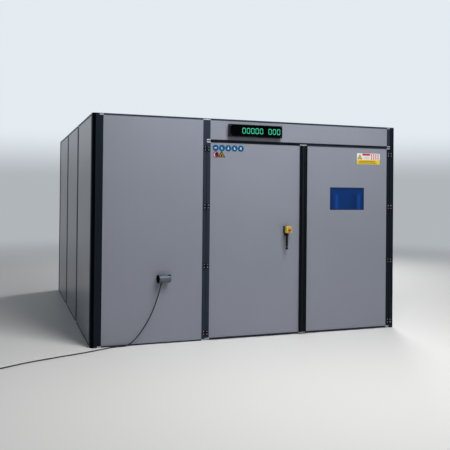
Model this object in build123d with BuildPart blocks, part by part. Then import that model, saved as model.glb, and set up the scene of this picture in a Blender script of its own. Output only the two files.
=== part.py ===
from build123d import *
import math
import os

os.makedirs("parts", exist_ok=True)

# A walk-in laser welding cell: a closed room of framed sheet modules between rounded corner
# posts, with a double door under a header. Sizes are in millimetres. +Z is up, +Y runs from the door
# side to the rear, and the origin is the middle of the cell's own box, on the floor.

# Layout of the room
front_bay = 1105.0
side_bay = 1250.0
bays_per_wall = 3
post_size = 68.0
post_rounding = 38.0
wall_height = 2297.0
roof_thickness = 3.0

# Framed modules
upright_width = 38.0
frame_depth = 40.0
rail_height = 13.0
block_height = 15.0
sheet_thickness = 2.0
groove_lip = 4.0
groove_depth = 8.0
sheet_grip = 6.0
sheet_fit = 0.3
corner_break = 1.0
seam = 0.4
post_wall = 3.0
chamber_wall = 4.0
slot_mouth = 8.0
slot_width = 16.0
slot_lip = 3.0
slot_depth = 6.0

# Doorway and leaves
door_floor_gap = 10.0
header_height = 229.0
door_head_gap = 4.0
hinge_gap = 3.0
meeting_gap = 3.0
nose_width = 28.0
nose_reach = 25.0
seal_reach = 12.0
seal_gap = 1.2
sweep_thickness = 8.0
sweep_floor_gap = 2.0
stop_thickness = 3.0
stop_clearance = 0.4
stop_cover = 12.0
stop_angle_leg = 32.0
stop_flange = 30.0
stop_overlap = 8.0

# Hinges
hinge_shares = [0.0, 0.363, 0.685, 1.0]
hinge_end_inset = 70.0
hinge_top_inset = 80.0
hinge_height = 58.0
hinge_leaf = 30.0
hinge_plate = 5.0
hinge_offset = 6.0
knuckle_radius = 5.5
pin_radius = 3.0
pin_fit = 0.05
knuckle_share = 18.0
knuckle_fit = 0.3

# Roof carriers and lamps
beam_width = 40.0
beam_height = 80.0
beam_wall = 3.0
lamp_length = 1200.0
lamp_width = 70.0
lamp_height = 42.0
lamp_lens_width = 46.0

# Display over the door
sign_width = 600.0
sign_height = 130.0
sign_depth = 50.0
sign_rim = 6.0
sign_face_thickness = 3.0
sign_corner = 3.0
sign_middle = 1704.0

# Window in the right leaf
window_width = 432.0
window_height = 250.0
window_centre_height = 1476.0
gasket_face = 9.0
gasket_lip = 1.6
pane_thickness = 4.0
pane_grip = 4.0
sheet_edge_cover = 4.0

# Stop switch and lever on the left leaf
switch_inset = 198.5
switch_width = 60.0
switch_top = 1175.0
cover_height = 72.0
base_reach = 42.0
cover_reach = 47.0
switch_corner = 6.0
switch_wall = 3.0
collar_radius = 13.0
collar_height = 4.0
button_radius = 16.0
button_height = 14.0
button_bevel = 2.5
button_travel = 4.0
button_rest_gap = 5.0
button_stem_radius = 8.0
button_tenon_radius = 5.0
button_tenon_depth = 9.0
running_fit = 0.06
lever_offset = 10.0
lever_length = 146.0
lever_knob_radius = 15.0
lever_hub_radius = 17.0
lever_hub_length = 20.0
lever_hub_gap = 1.0
lever_top_radius = 8.5
lever_tip_radius = 6.5
spindle_side = 10.0
spindle_clearance = 0.5
inner_lever_length = 110.0
inner_lever_thickness = 8.0
inner_lever_width = 20.0

# Lock behind the left leaf
case_width = 110.0
case_height = 96.0
case_reach = 52.0
case_wall = 2.5
cam_radius = 14.0
cam_thickness = 8.0
latch_height = 24.0
latch_thickness = 10.0
latch_clearance = 1.0
latch_setback = 2.5

# Shoot bolts and door switches
bolt_radius = 6.0
bolt_length = 260.0
bolt_tip = 3.0
guide_width = 30.0
guide_height = 20.0
guide_depth = 24.0
guide_inset = 40.0
bolt_top_gap = 8.0
bolt_travel = 20.0
bolt_floor_clearance = 2.0
bolt_knob_radius = 5.0
bolt_knob_length = 22.0
door_switch_offset = 130.0
actuator_width = 70.0
actuator_height = 40.0
actuator_foot = 34.0
actuator_head = 18.0
actuator_drop = 26.0
door_switch_gap = 4.0
door_switch_depth = 30.0
door_switch_width = 90.0

# Cable outlet on the fixed front module
outlet_middle = 715.0
outlet_height = 659.0
outlet_radius = 40.0
outlet_wall = 3.0
outlet_length = 122.0
outlet_turn = 8.0
outlet_standoff = 48.0
mouth_bead = 2.0
mouth_bead_length = 8.0
neck_radius = 26.0
neck_wall = 3.5
neck_length = 34.0
flange_radius = 38.0
flange_thickness = 3.0
neck_clearance = 0.5
ring_radius = 36.0
ring_thickness = 8.0
cap_rim = 2.0
cap_thickness = 6.0
cap_spigot = 10.0
cap_bevel = 2.0
clip_angle = 35.0
clip_width = 12.0
clip_thickness = 3.0
clip_reach = 18.0
clip_drop = 26.0
clip_foot = 9.0
lug_inset = 14.0
lug_rise = 4.0
gland_shift = 11.0
gland_tilt = 15.0
gland_thread_radius = 8.0
gland_nut_radius = 13.0
gland_nut_height = 11.0
gland_length = 26.0
gland_boss_rim = 1.0
gland_boss_height = 6.0
relief_wall = 1.5

# Supply cable
cable_diameter = 11.0
coil_turn_radius = 65.0
coil_turns_per_layer = 3.5
plug_body_radius = 20.0
plug_body_length = 44.0
plug_relief_length = 32.0
plug_pin_radius = 2.4
plug_pin_length = 19.0
plug_pin_spacing = 19.0
tail_length = 62.0

# Worked-out places, measured along a wall, inwards from its outer face, and up
width = 2 * post_size + bays_per_wall * front_bay
depth = 2 * post_size + bays_per_wall * side_bay
sheet_front = groove_lip + sheet_fit
sheet_back = sheet_front + sheet_thickness
groove_width = sheet_thickness + 2 * sheet_fit
groove_middle = groove_lip + groove_width / 2
switch_front = sheet_front - base_reach - cover_reach
button_back = switch_front - collar_height - button_rest_gap
button_front = button_back - button_height
front_reach = -button_front
front_y = -(depth - front_reach) / 2
rear_y = front_y + depth
hinge_left = post_size + front_bay
hinge_right = post_size + bays_per_wall * front_bay - hinge_gap / 2
meeting = hinge_left + front_bay
left_leaf_start = hinge_left + hinge_gap / 2
left_leaf_end = meeting - meeting_gap / 2
right_leaf_start = meeting + meeting_gap / 2
right_leaf_end = hinge_right - hinge_gap / 2
header_start = hinge_left - hinge_gap / 2 + seam
header_end = post_size + bays_per_wall * front_bay - seam / 2
header_bottom = wall_height - header_height
door_top = header_bottom - door_head_gap
hinge_lowest = door_floor_gap + hinge_end_inset
hinge_highest = door_top - hinge_top_inset
hinge_heights = [hinge_lowest + share * (hinge_highest - hinge_lowest) for share in hinge_shares]
switch_middle = left_leaf_end - switch_inset
lever_middle = switch_middle - lever_offset
lever_drop = lever_hub_radius + lever_hub_gap
lever_height = switch_top - cover_height - lever_drop
stop_front = frame_depth + stop_clearance
stop_back = stop_front + stop_thickness
stop_angle_bottom = door_top - stop_overlap
bolt_depth = frame_depth + guide_depth / 2
bolt_line = right_leaf_start + upright_width / 2
bolt_floor_gap = bolt_travel + bolt_floor_clearance
right_leaf_middle = (right_leaf_start + right_leaf_end) / 2

# Each wall has a floor plane: X runs along the wall, Y runs inwards from its outer face
front_wall = Plane(origin=(-width / 2, front_y, 0), x_dir=(1, 0, 0), z_dir=(0, 0, 1))
right_wall = Plane(origin=(width / 2, front_y, 0), x_dir=(0, 1, 0), z_dir=(0, 0, 1))
rear_wall = Plane(origin=(width / 2, rear_y, 0), x_dir=(-1, 0, 0), z_dir=(0, 0, 1))
left_wall = Plane(origin=(-width / 2, rear_y, 0), x_dir=(0, -1, 0), z_dir=(0, 0, 1))


def face_of(wall, inset):
    """The upright plane of a wall at a depth behind its outer face. Extruding goes outwards."""
    return Plane(
        origin=wall.origin + wall.y_dir * inset,
        x_dir=wall.x_dir,
        z_dir=-wall.y_dir,
    )


def front_point(along, inset, height):
    """A point given along the front wall, inwards from its outer face, and up."""
    return Vector(along - width / 2, front_y + inset, height)


def modules(pitch):
    """Start and end of each module of a wall, between two corner posts."""
    starts = [post_size + pitch * index for index in range(bays_per_wall)]
    return [(start + seam / 2, start + pitch - seam / 2) for start in starts]


def upright(wall, edge, inward, bottom, top, nose=0.0):
    """An edge extrusion. Its outer side stands at edge, and inward, 1 or -1, points to its sheet."""
    middle = edge + inward * upright_width / 2
    with BuildSketch(wall.offset(bottom)) as section:
        with Locations((middle, frame_depth / 2)):
            Rectangle(upright_width, frame_depth)
        if nose:
            nose_middle = edge + inward * (upright_width - nose_width / 2)
            with Locations((nose_middle, -nose / 2)):
                Rectangle(nose_width, nose)
        chamfer(section.vertices().group_by(Axis.Y)[0], corner_break)
        # The groove that takes the edge of the sheet
        with Locations((edge + inward * (upright_width - groove_depth / 2), groove_middle)):
            Rectangle(groove_depth, groove_width, mode=Mode.SUBTRACT)
        # The bolt channel, open to the inside of the cell
        with Locations((middle, frame_depth - slot_lip / 2)):
            Rectangle(slot_mouth, slot_lip, mode=Mode.SUBTRACT)
        with Locations((middle, frame_depth - slot_lip - slot_depth / 2)):
            Rectangle(slot_width, slot_depth, mode=Mode.SUBTRACT)
        # The closed chamber between groove and channel
        chamber_front = groove_lip + groove_width + slot_lip
        chamber_back = frame_depth - slot_lip - slot_depth - slot_lip
        with Locations((middle, (chamber_front + chamber_back) / 2)):
            Rectangle(
                upright_width - 2 * chamber_wall,
                chamber_back - chamber_front,
                mode=Mode.SUBTRACT,
            )
        if nose:
            nose_hollow = nose_width - 2 * chamber_wall
            with Locations((nose_middle, -nose / 2)):
                Rectangle(nose_hollow, nose - 2 * slot_lip, mode=Mode.SUBTRACT)
    extrude(section.sketch, amount=top - bottom)


def rail(wall, start, end, face, up):
    """A rail between two blocks, from a bottom face upwards or from a top face downwards."""
    low = face if up > 0 else face - rail_height
    groove_low = low + rail_height - groove_depth if up > 0 else low
    middle = (start + end) / 2
    length = end - start - 2 * upright_width
    with BuildSketch(wall.offset(low)) as strip:
        with Locations((middle, frame_depth / 2)):
            Rectangle(length, frame_depth)
    extrude(strip.sketch, amount=rail_height)
    with BuildSketch(wall.offset(groove_low)) as groove:
        with Locations((middle, groove_middle)):
            Rectangle(length, groove_width)
    extrude(groove.sketch, amount=groove_depth, mode=Mode.SUBTRACT)


def end_block(wall, edge, inward, face, up):
    """The bare block that joins an upright to a rail."""
    low = face if up > 0 else face - block_height
    with BuildSketch(wall.offset(low)) as outline:
        with Locations((edge + inward * upright_width / 2, frame_depth / 2)):
            Rectangle(upright_width, frame_depth)
        chamfer(outline.vertices(), corner_break)
    extrude(outline.sketch, amount=block_height)


def module_blocks(wall, start, end, bottom, top):
    """The four blocks of one module."""
    for edge, inward in [(start, 1), (end, -1)]:
        end_block(wall, edge, inward, bottom, 1)
        end_block(wall, edge, inward, top, -1)


def module_uprights(wall, start, end, bottom, top):
    """Both edge extrusions of one module, standing between its blocks."""
    for edge, inward in [(start, 1), (end, -1)]:
        upright(wall, edge, inward, bottom + block_height, top - block_height)


def module_rails(wall, start, end, bottom, top):
    """The bottom and the top rail of one module."""
    rail(wall, start, end, bottom, 1)
    rail(wall, start, end, top, -1)


def module_sheet(wall, start, end, bottom, top):
    """The sheet of one module, in the grooves of its frame, cut out round the blocks."""
    length = end - start - 2 * (upright_width - sheet_grip)
    height = top - bottom - 2 * (rail_height - sheet_grip)
    notch_length = sheet_grip + sheet_fit
    notch_height = block_height - rail_height + sheet_grip + sheet_fit
    with BuildSketch(face_of(wall, sheet_back)) as outline:
        with Locations(((start + end) / 2, (bottom + top) / 2)):
            Rectangle(length, height)
            with GridLocations(length, height, 2, 2):
                Rectangle(2 * notch_length, 2 * notch_height, mode=Mode.SUBTRACT)
    extrude(outline.sketch, amount=sheet_thickness)


def corner_post(wall):
    """A hollow post with a broad outer rounding, in the corner where a wall starts."""
    with BuildSketch(wall) as section:
        with Locations((post_size / 2, post_size / 2)):
            Rectangle(post_size, post_size)
        fillet(section.vertices().sort_by_distance((0, 0))[0], post_rounding)
        offset(section.face(), amount=-post_wall, mode=Mode.SUBTRACT)
    extrude(section.sketch, amount=wall_height)


# Corner posts
with BuildPart() as corner_post_front_left:
    corner_post(front_wall)

with BuildPart() as corner_post_front_right:
    corner_post(right_wall)

with BuildPart() as corner_post_rear_right:
    corner_post(rear_wall)

with BuildPart() as corner_post_rear_left:
    corner_post(left_wall)

# Fixed walls
first_module = (post_size + seam / 2, hinge_left - hinge_gap / 2)
header = (header_start, header_end, header_bottom, wall_height)
side_modules = modules(side_bay)
rear_modules = modules(front_bay)

with BuildPart() as front_uprights:
    module_uprights(front_wall, *first_module, 0, wall_height)
    module_uprights(front_wall, *header)

with BuildPart() as front_rails:
    module_rails(front_wall, *first_module, 0, wall_height)
    module_rails(front_wall, *header)

with BuildPart() as side_uprights:
    for wall in [left_wall, right_wall]:
        for start, end in side_modules:
            module_uprights(wall, start, end, 0, wall_height)

with BuildPart() as side_rails:
    for wall in [left_wall, right_wall]:
        for start, end in side_modules:
            module_rails(wall, start, end, 0, wall_height)

with BuildPart() as rear_uprights:
    for start, end in rear_modules:
        module_uprights(rear_wall, start, end, 0, wall_height)

with BuildPart() as rear_rails:
    for start, end in rear_modules:
        module_rails(rear_wall, start, end, 0, wall_height)

with BuildPart() as end_blocks:
    module_blocks(front_wall, *first_module, 0, wall_height)
    module_blocks(front_wall, *header)
    for start, end in rear_modules:
        module_blocks(rear_wall, start, end, 0, wall_height)
    for wall in [left_wall, right_wall]:
        for start, end in side_modules:
            module_blocks(wall, start, end, 0, wall_height)

with BuildPart() as front_wall_sheet:
    module_sheet(front_wall, *first_module, 0, wall_height)
    with BuildSketch(face_of(front_wall, sheet_back)) as outlet_hole:
        with Locations((outlet_middle, outlet_height)):
            Circle(neck_radius + neck_clearance)
    extrude(outlet_hole.sketch, amount=sheet_thickness, mode=Mode.SUBTRACT)

with BuildPart() as header_sheet:
    module_sheet(front_wall, *header)

with BuildPart() as left_wall_sheets:
    for start, end in side_modules:
        module_sheet(left_wall, start, end, 0, wall_height)

with BuildPart() as right_wall_sheets:
    for start, end in side_modules:
        module_sheet(right_wall, start, end, 0, wall_height)

with BuildPart() as rear_wall_sheets:
    for start, end in rear_modules:
        module_sheet(rear_wall, start, end, 0, wall_height)

# Roof
roof_joints = [front_y + post_size + side_bay * index for index in range(1, bays_per_wall)]
roof_edges = [front_y, *roof_joints, rear_y]
with BuildPart() as roof_sheets:
    for front_edge, rear_edge in zip(roof_edges, roof_edges[1:]):
        with BuildSketch(Plane.XY.offset(wall_height)) as roof_outline:
            with Locations((0, (front_y + rear_y) / 2)):
                RectangleRounded(width, depth, post_rounding)
            with Locations((0, (front_edge + rear_edge) / 2)):
                Rectangle(width, rear_edge - front_edge - seam, mode=Mode.INTERSECT)
        extrude(roof_outline.sketch, amount=roof_thickness)

beam_length = width - 2 * frame_depth - 2 * sheet_fit
with BuildPart() as roof_beams:
    for joint in roof_joints:
        with BuildSketch(Plane.YZ.offset(-beam_length / 2)) as tube_section:
            with Locations((joint, wall_height - beam_height / 2)):
                Rectangle(beam_width, beam_height)
                Rectangle(
                    beam_width - 2 * beam_wall,
                    beam_height - 2 * beam_wall,
                    mode=Mode.SUBTRACT,
                )
        extrude(tube_section.sketch, amount=beam_length)

lamp_top = wall_height - beam_height
with BuildPart() as work_lights:
    for joint in roof_joints:
        with BuildSketch(Plane.YZ.offset(-lamp_length / 2)) as lamp_section:
            with BuildLine():
                Polyline(
                    (joint - lamp_width / 2, lamp_top),
                    (joint + lamp_width / 2, lamp_top),
                    (joint + lamp_width / 2, lamp_top - lamp_height / 2),
                    (joint + lamp_lens_width / 2, lamp_top - lamp_height),
                    (joint - lamp_lens_width / 2, lamp_top - lamp_height),
                    (joint - lamp_width / 2, lamp_top - lamp_height / 2),
                    close=True,
                )
            make_face()
        extrude(lamp_section.sketch, amount=lamp_length)

# Stops round the doorway: a strip behind each hinge stile and an angle behind the top rails
with BuildPart() as door_stops:
    left_cover = (hinge_left - upright_width / 2, left_leaf_start + stop_cover)
    right_cover = (right_leaf_end - stop_cover, hinge_right + hinge_gap / 2)
    for start, end in [left_cover, right_cover]:
        with BuildSketch(front_wall) as strip_section:
            with Locations(((start + end) / 2, (stop_front + stop_back) / 2)):
                Rectangle(end - start, stop_thickness)
        extrude(strip_section.sketch, amount=stop_angle_bottom - sheet_fit)
    angle_start = left_leaf_start
    angle_end = hinge_right + hinge_gap / 2 - sheet_fit
    with BuildSketch(front_wall.offset(stop_angle_bottom)) as angle_leg:
        with Locations(((angle_start + angle_end) / 2, (stop_front + stop_back) / 2)):
            Rectangle(angle_end - angle_start, stop_thickness)
    extrude(angle_leg.sketch, amount=stop_angle_leg)
    with BuildSketch(front_wall.offset(stop_angle_bottom)) as angle_flange:
        with Locations(((angle_start + angle_end) / 2, stop_front + stop_flange / 2)):
            Rectangle(angle_end - angle_start, stop_flange)
        with Locations((bolt_line, bolt_depth)):
            Circle(bolt_radius + spindle_clearance, mode=Mode.SUBTRACT)
    extrude(angle_flange.sketch, amount=stop_thickness)


# Each leaf's hinge edge and meeting edge, with the direction from there to its sheet
left_hinge_side = (left_leaf_start, 1)
left_meeting_side = (left_leaf_end, -1)
right_hinge_side = (right_leaf_end, -1)
right_meeting_side = (right_leaf_start, 1)
stile_bottom = door_floor_gap + block_height
stile_top = door_top - block_height

# Left leaf
with BuildPart() as door_left_hinge_stile:
    upright(front_wall, *left_hinge_side, stile_bottom, stile_top)

with BuildPart() as door_left_meeting_stile:
    upright(front_wall, *left_meeting_side, stile_bottom, stile_top, nose_reach)

with BuildPart() as door_left_rails:
    module_rails(front_wall, left_leaf_start, left_leaf_end, door_floor_gap, door_top)

with BuildPart() as door_left_end_blocks:
    module_blocks(front_wall, left_leaf_start, left_leaf_end, door_floor_gap, door_top)

with BuildPart() as door_left_sheet:
    module_sheet(front_wall, left_leaf_start, left_leaf_end, door_floor_gap, door_top)
    with BuildSketch(face_of(front_wall, sheet_back)) as spindle_hole:
        with Locations((lever_middle, lever_height)):
            Circle(spindle_side)
    extrude(spindle_hole.sketch, amount=sheet_thickness, mode=Mode.SUBTRACT)

# Right leaf
with BuildPart() as door_right_hinge_stile:
    upright(front_wall, *right_hinge_side, stile_bottom, stile_top)

with BuildPart() as door_right_meeting_stile:
    upright(front_wall, *right_meeting_side, stile_bottom, stile_top, nose_reach)

with BuildPart() as door_right_rails:
    module_rails(front_wall, right_leaf_start, right_leaf_end, door_floor_gap, door_top)

with BuildPart() as door_right_end_blocks:
    module_blocks(front_wall, right_leaf_start, right_leaf_end, door_floor_gap, door_top)

cutout_width = window_width - 2 * sheet_edge_cover
cutout_height = window_height - 2 * sheet_edge_cover
with BuildPart() as door_right_sheet:
    module_sheet(front_wall, right_leaf_start, right_leaf_end, door_floor_gap, door_top)
    with BuildSketch(face_of(front_wall, sheet_back)) as cutout:
        with Locations((right_leaf_middle, window_centre_height)):
            Rectangle(cutout_width, cutout_height)
    extrude(cutout.sketch, amount=sheet_thickness, mode=Mode.SUBTRACT)


def window_layer(inset, thickness, outline, opening):
    """One rectangular layer of the window, from a depth outwards, with an opening if it has one."""
    with BuildSketch(face_of(front_wall, inset)) as layer:
        with Locations((right_leaf_middle, window_centre_height)):
            Rectangle(*outline)
            if opening:
                Rectangle(*opening, mode=Mode.SUBTRACT)
    extrude(layer.sketch, amount=thickness)


# The gasket grips the edge of the sheet outside and the edge of the pane inside
gasket_front = sheet_front - sheet_fit - gasket_lip
pane_front = sheet_front
pane_back = pane_front + pane_thickness
gasket_back = pane_back + sheet_fit + gasket_lip
sight_size = (window_width - 2 * gasket_face, window_height - 2 * gasket_face)
pane_size = tuple(size + 2 * pane_grip - 2 * sheet_fit for size in sight_size)
pane_bed = tuple(size + 2 * pane_grip for size in sight_size)
web_size = (cutout_width - 2 * sheet_fit, cutout_height - 2 * sheet_fit)
rim_size = (window_width, window_height)
with BuildPart() as window_gasket:
    window_layer(sheet_front - sheet_fit, gasket_lip, rim_size, sight_size)
    window_layer(sheet_back + sheet_fit, sheet_back + 2 * sheet_fit - sheet_front, web_size, pane_bed)
    window_layer(pane_back + sheet_fit, pane_back - sheet_back, rim_size, pane_bed)
    window_layer(gasket_back, gasket_lip, rim_size, sight_size)

with BuildPart() as window_pane:
    window_layer(pane_back, pane_thickness, pane_size, None)


def leaf_seals(start, end, meeting_side):
    """The rubber lip beside the nose of the meeting stile, and the brush under the bottom rail."""
    edge, inward = meeting_side
    lip_start = edge + inward * (upright_width - nose_width)
    lip_end = edge - inward * (meeting_gap - seal_gap) / 2
    with BuildSketch(front_wall.offset(stile_bottom)) as lip:
        with Locations(((lip_start + lip_end) / 2, -seal_reach / 2)):
            Rectangle(abs(lip_end - lip_start), seal_reach)
        chamfer(lip.vertices().group_by(Axis.Y)[0], corner_break)
    extrude(lip.sketch, amount=stile_top - stile_bottom)
    with BuildSketch(front_wall.offset(sweep_floor_gap)) as brush:
        with Locations(((start + end) / 2, frame_depth / 2)):
            Rectangle(end - start - 2 * corner_break, sweep_thickness)
    extrude(brush.sketch, amount=door_floor_gap - sweep_floor_gap)


with BuildPart() as door_left_seals:
    leaf_seals(left_leaf_start, left_leaf_end, left_meeting_side)

with BuildPart() as door_right_seals:
    leaf_seals(right_leaf_start, right_leaf_end, right_meeting_side)


def hinge_plate_at(axis, away, height):
    """The flat of a hinge leaf, beside the knuckles."""
    near = axis + away * (knuckle_radius + sheet_fit * 2)
    far = axis + away * hinge_leaf
    with BuildSketch(front_wall.offset(height - hinge_height / 2)) as flat:
        with Locations(((near + far) / 2, -hinge_plate / 2)):
            Rectangle(abs(far - near), hinge_plate)
    extrude(flat.sketch, amount=hinge_height)


def knuckle(axis, away, low, high, bore):
    """A barrel on the hinge line with the web that carries it, bored for the pin if bore is set."""
    with BuildSketch(front_wall.offset(low)) as eye:
        with Locations((axis, -hinge_offset)):
            Circle(knuckle_radius)
        web_reach = knuckle_radius + sheet_fit * 2 + corner_break
        with Locations((axis + away * web_reach / 2, -hinge_plate / 2 - sheet_fit)):
            Rectangle(web_reach, hinge_plate - 2 * sheet_fit)
        if bore:
            with Locations((axis, -hinge_offset)):
                Circle(bore, mode=Mode.SUBTRACT)
    extrude(eye.sketch, amount=high - low)


def wall_hinge_leaf(axis, away, height):
    """The fixed leaf: two outer knuckles with the pin riveted through them."""
    low = height - hinge_height / 2
    high = height + hinge_height / 2
    hinge_plate_at(axis, away, height)
    knuckle(axis, away, low, low + knuckle_share, None)
    knuckle(axis, away, high - knuckle_share, high, None)
    with BuildSketch(front_wall.offset(low)) as pin:
        with Locations((axis, -hinge_offset)):
            Circle(pin_radius)
    extrude(pin.sketch, amount=hinge_height)


def door_hinge_leaf(axis, away, height):
    """The moving leaf: one middle knuckle that turns on the pin."""
    low = height - hinge_height / 2 + knuckle_share + knuckle_fit
    high = height + hinge_height / 2 - knuckle_share - knuckle_fit
    hinge_plate_at(axis, away, height)
    knuckle(axis, away, low, high, pin_radius + pin_fit)


with BuildPart() as wall_hinge_leaves:
    for height in hinge_heights:
        wall_hinge_leaf(hinge_left, -1, height)
        wall_hinge_leaf(hinge_right, 1, height)

with BuildPart() as door_left_hinge_leaves:
    for height in hinge_heights:
        door_hinge_leaf(hinge_left, 1, height)

with BuildPart() as door_right_hinge_leaves:
    for height in hinge_heights:
        door_hinge_leaf(hinge_right, -1, height)

# Display over the door
sign_centre_height = (header_bottom + wall_height) / 2
sign_front = sheet_front - sign_depth
with BuildPart() as sign_housing:
    with BuildSketch(face_of(front_wall, sheet_front)) as sign_outline:
        with Locations((sign_middle, sign_centre_height)):
            RectangleRounded(sign_width, sign_height, sign_corner)
    extrude(sign_outline.sketch, amount=sign_depth)
    with BuildSketch(face_of(front_wall, sign_front + sign_face_thickness + sheet_fit)) as sign_bed:
        with Locations((sign_middle, sign_centre_height)):
            Rectangle(sign_width - 2 * sign_rim, sign_height - 2 * sign_rim)
    extrude(sign_bed.sketch, amount=sign_face_thickness + sheet_fit, mode=Mode.SUBTRACT)

with BuildPart() as sign_face:
    with BuildSketch(face_of(front_wall, sign_front + sign_face_thickness + sheet_fit)) as sign_pane:
        with Locations((sign_middle, sign_centre_height)):
            Rectangle(
                sign_width - 2 * sign_rim - 2 * sheet_fit,
                sign_height - 2 * sign_rim - 2 * sheet_fit,
            )
    extrude(sign_pane.sketch, amount=sign_face_thickness)

# Stop switch: a black base with a yellow cover over its upper part
base_front = sheet_front - base_reach
base_height = cover_height + 2 * lever_drop
base_middle_height = switch_top - base_height / 2
cover_middle_height = switch_top - cover_height / 2
with BuildPart() as switch_base:
    with BuildSketch(face_of(front_wall, sheet_front)) as base_outline:
        with Locations((switch_middle, base_middle_height)):
            RectangleRounded(switch_width, base_height, switch_corner)
    extrude(base_outline.sketch, amount=base_reach)
    with BuildSketch(face_of(front_wall, sheet_front)) as base_hollow:
        with Locations((switch_middle, base_middle_height)):
            RectangleRounded(
                switch_width - 2 * switch_wall,
                base_height - 2 * switch_wall,
                switch_corner - switch_wall,
            )
        with Locations((lever_middle, lever_height)):
            Circle(spindle_side + switch_wall, mode=Mode.SUBTRACT)
    extrude(base_hollow.sketch, amount=base_reach - switch_wall, mode=Mode.SUBTRACT)
    with BuildSketch(face_of(front_wall, sheet_front)) as base_bore:
        with Locations((lever_middle, lever_height)):
            Circle(spindle_side)
    extrude(base_bore.sketch, amount=base_reach, mode=Mode.SUBTRACT)

with BuildPart() as switch_cover:
    with BuildSketch(face_of(front_wall, base_front)) as cover_outline:
        with Locations((switch_middle, cover_middle_height)):
            RectangleRounded(switch_width, cover_height, switch_corner)
    extrude(cover_outline.sketch, amount=cover_reach)
    fillet(switch_cover.faces().sort_by(Axis.Y)[0].edges(), switch_corner / 2)
    with BuildSketch(face_of(front_wall, base_front)) as cover_hollow:
        with Locations((switch_middle, cover_middle_height)):
            RectangleRounded(
                switch_width - 2 * switch_wall,
                cover_height - 2 * switch_wall,
                switch_corner - switch_wall,
            )
    extrude(cover_hollow.sketch, amount=cover_reach - switch_wall, mode=Mode.SUBTRACT)
    with BuildSketch(face_of(front_wall, switch_front)) as collar:
        with Locations((switch_middle, cover_middle_height)):
            Circle(collar_radius)
    extrude(collar.sketch, amount=collar_height)
    with BuildSketch(face_of(front_wall, base_front)) as stem_hole:
        with Locations((switch_middle, cover_middle_height)):
            Circle(button_stem_radius + running_fit)
    extrude(stem_hole.sketch, amount=cover_reach + collar_height, mode=Mode.SUBTRACT)

# The stem slides in the collar, and the head turns on the stem's tenon
stem_back = switch_front + switch_wall + button_travel + collar_height
with BuildPart() as stop_button_stem:
    with BuildSketch(face_of(front_wall, stem_back)) as stem_round:
        with Locations((switch_middle, cover_middle_height)):
            Circle(button_stem_radius)
    extrude(stem_round.sketch, amount=stem_back - button_back - sheet_fit)
    with BuildSketch(face_of(front_wall, stem_back)) as tenon_round:
        with Locations((switch_middle, cover_middle_height)):
            Circle(button_tenon_radius)
    extrude(tenon_round.sketch, amount=stem_back - button_back + button_tenon_depth - sheet_fit)

button_axis = Plane(
    origin=front_point(switch_middle, button_back, cover_middle_height),
    x_dir=(1, 0, 0),
    z_dir=(0, 0, 1),
)
with BuildPart() as stop_button_head:
    with BuildSketch(button_axis) as head_profile:
        with BuildLine():
            crown = TangentArc(
                (0, -button_height),
                (button_radius, -button_height / 2),
                tangent=(1, 0),
            )
            Polyline(
                crown @ 1,
                (button_radius, -button_bevel),
                (button_radius - button_bevel, 0),
                (0, 0),
                crown @ 0,
            )
        make_face()
    revolve(head_profile.sketch, axis=Axis(button_axis.origin, (0, 1, 0)))
    with BuildSketch(face_of(front_wall, button_back)) as tenon_bore:
        with Locations((switch_middle, cover_middle_height)):
            Circle(button_tenon_radius + running_fit)
    extrude(tenon_bore.sketch, amount=button_tenon_depth, mode=Mode.SUBTRACT)

# Lever: hub, square spindle with its cam, tapered shaft and round knob
hub_back = base_front - sheet_fit
hub_front = hub_back - lever_hub_length
shaft_inset = hub_back - lever_hub_length / 2
case_back = sheet_back + case_reach
latch_front = frame_depth + latch_clearance
latch_back = latch_front + latch_thickness
cam_back = (latch_front + latch_back) / 2 + cam_thickness / 2
inner_hub_front = case_back + sheet_fit
spindle_end = inner_hub_front + inner_lever_thickness
with BuildPart() as door_lever:
    with BuildSketch(face_of(front_wall, hub_back)) as hub:
        with Locations((lever_middle, lever_height)):
            Circle(lever_hub_radius)
    extrude(hub.sketch, amount=lever_hub_length)
    fillet(door_lever.faces().sort_by(Axis.Y)[0].edges(), 2 * corner_break)
    shaft_top = Plane(
        origin=front_point(lever_middle, shaft_inset, lever_height),
        x_dir=(1, 0, 0),
        z_dir=(0, 0, -1),
    )
    with BuildSketch(shaft_top) as thick_end:
        Circle(lever_top_radius)
    with BuildSketch(shaft_top.offset(lever_length)) as thin_end:
        Circle(lever_tip_radius)
    loft(Sketch() + [thick_end.sketch, thin_end.sketch])
    with Locations(front_point(lever_middle, shaft_inset, lever_height - lever_length)):
        Sphere(lever_knob_radius)
    with BuildSketch(face_of(front_wall, spindle_end)) as spindle:
        with Locations((lever_middle, lever_height)):
            Rectangle(spindle_side, spindle_side)
    extrude(spindle.sketch, amount=spindle_end - hub_back)
    with BuildSketch(face_of(front_wall, cam_back)) as cam:
        with Locations((lever_middle, lever_height)):
            Circle(cam_radius)
    extrude(cam.sketch, amount=cam_thickness)

with BuildPart() as inner_lever:
    grip_height = lever_height - inner_lever_length
    with BuildSketch(face_of(front_wall, spindle_end)) as bar:
        with Locations((lever_middle, (lever_height + grip_height) / 2)):
            SlotCenterToCenter(inner_lever_length, inner_lever_width, rotation=90)
        with Locations((lever_middle, lever_height)):
            Circle(lever_hub_radius)
            Rectangle(
                spindle_side + spindle_clearance,
                spindle_side + spindle_clearance,
                mode=Mode.SUBTRACT,
            )
    extrude(bar.sketch, amount=inner_lever_thickness)

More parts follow.
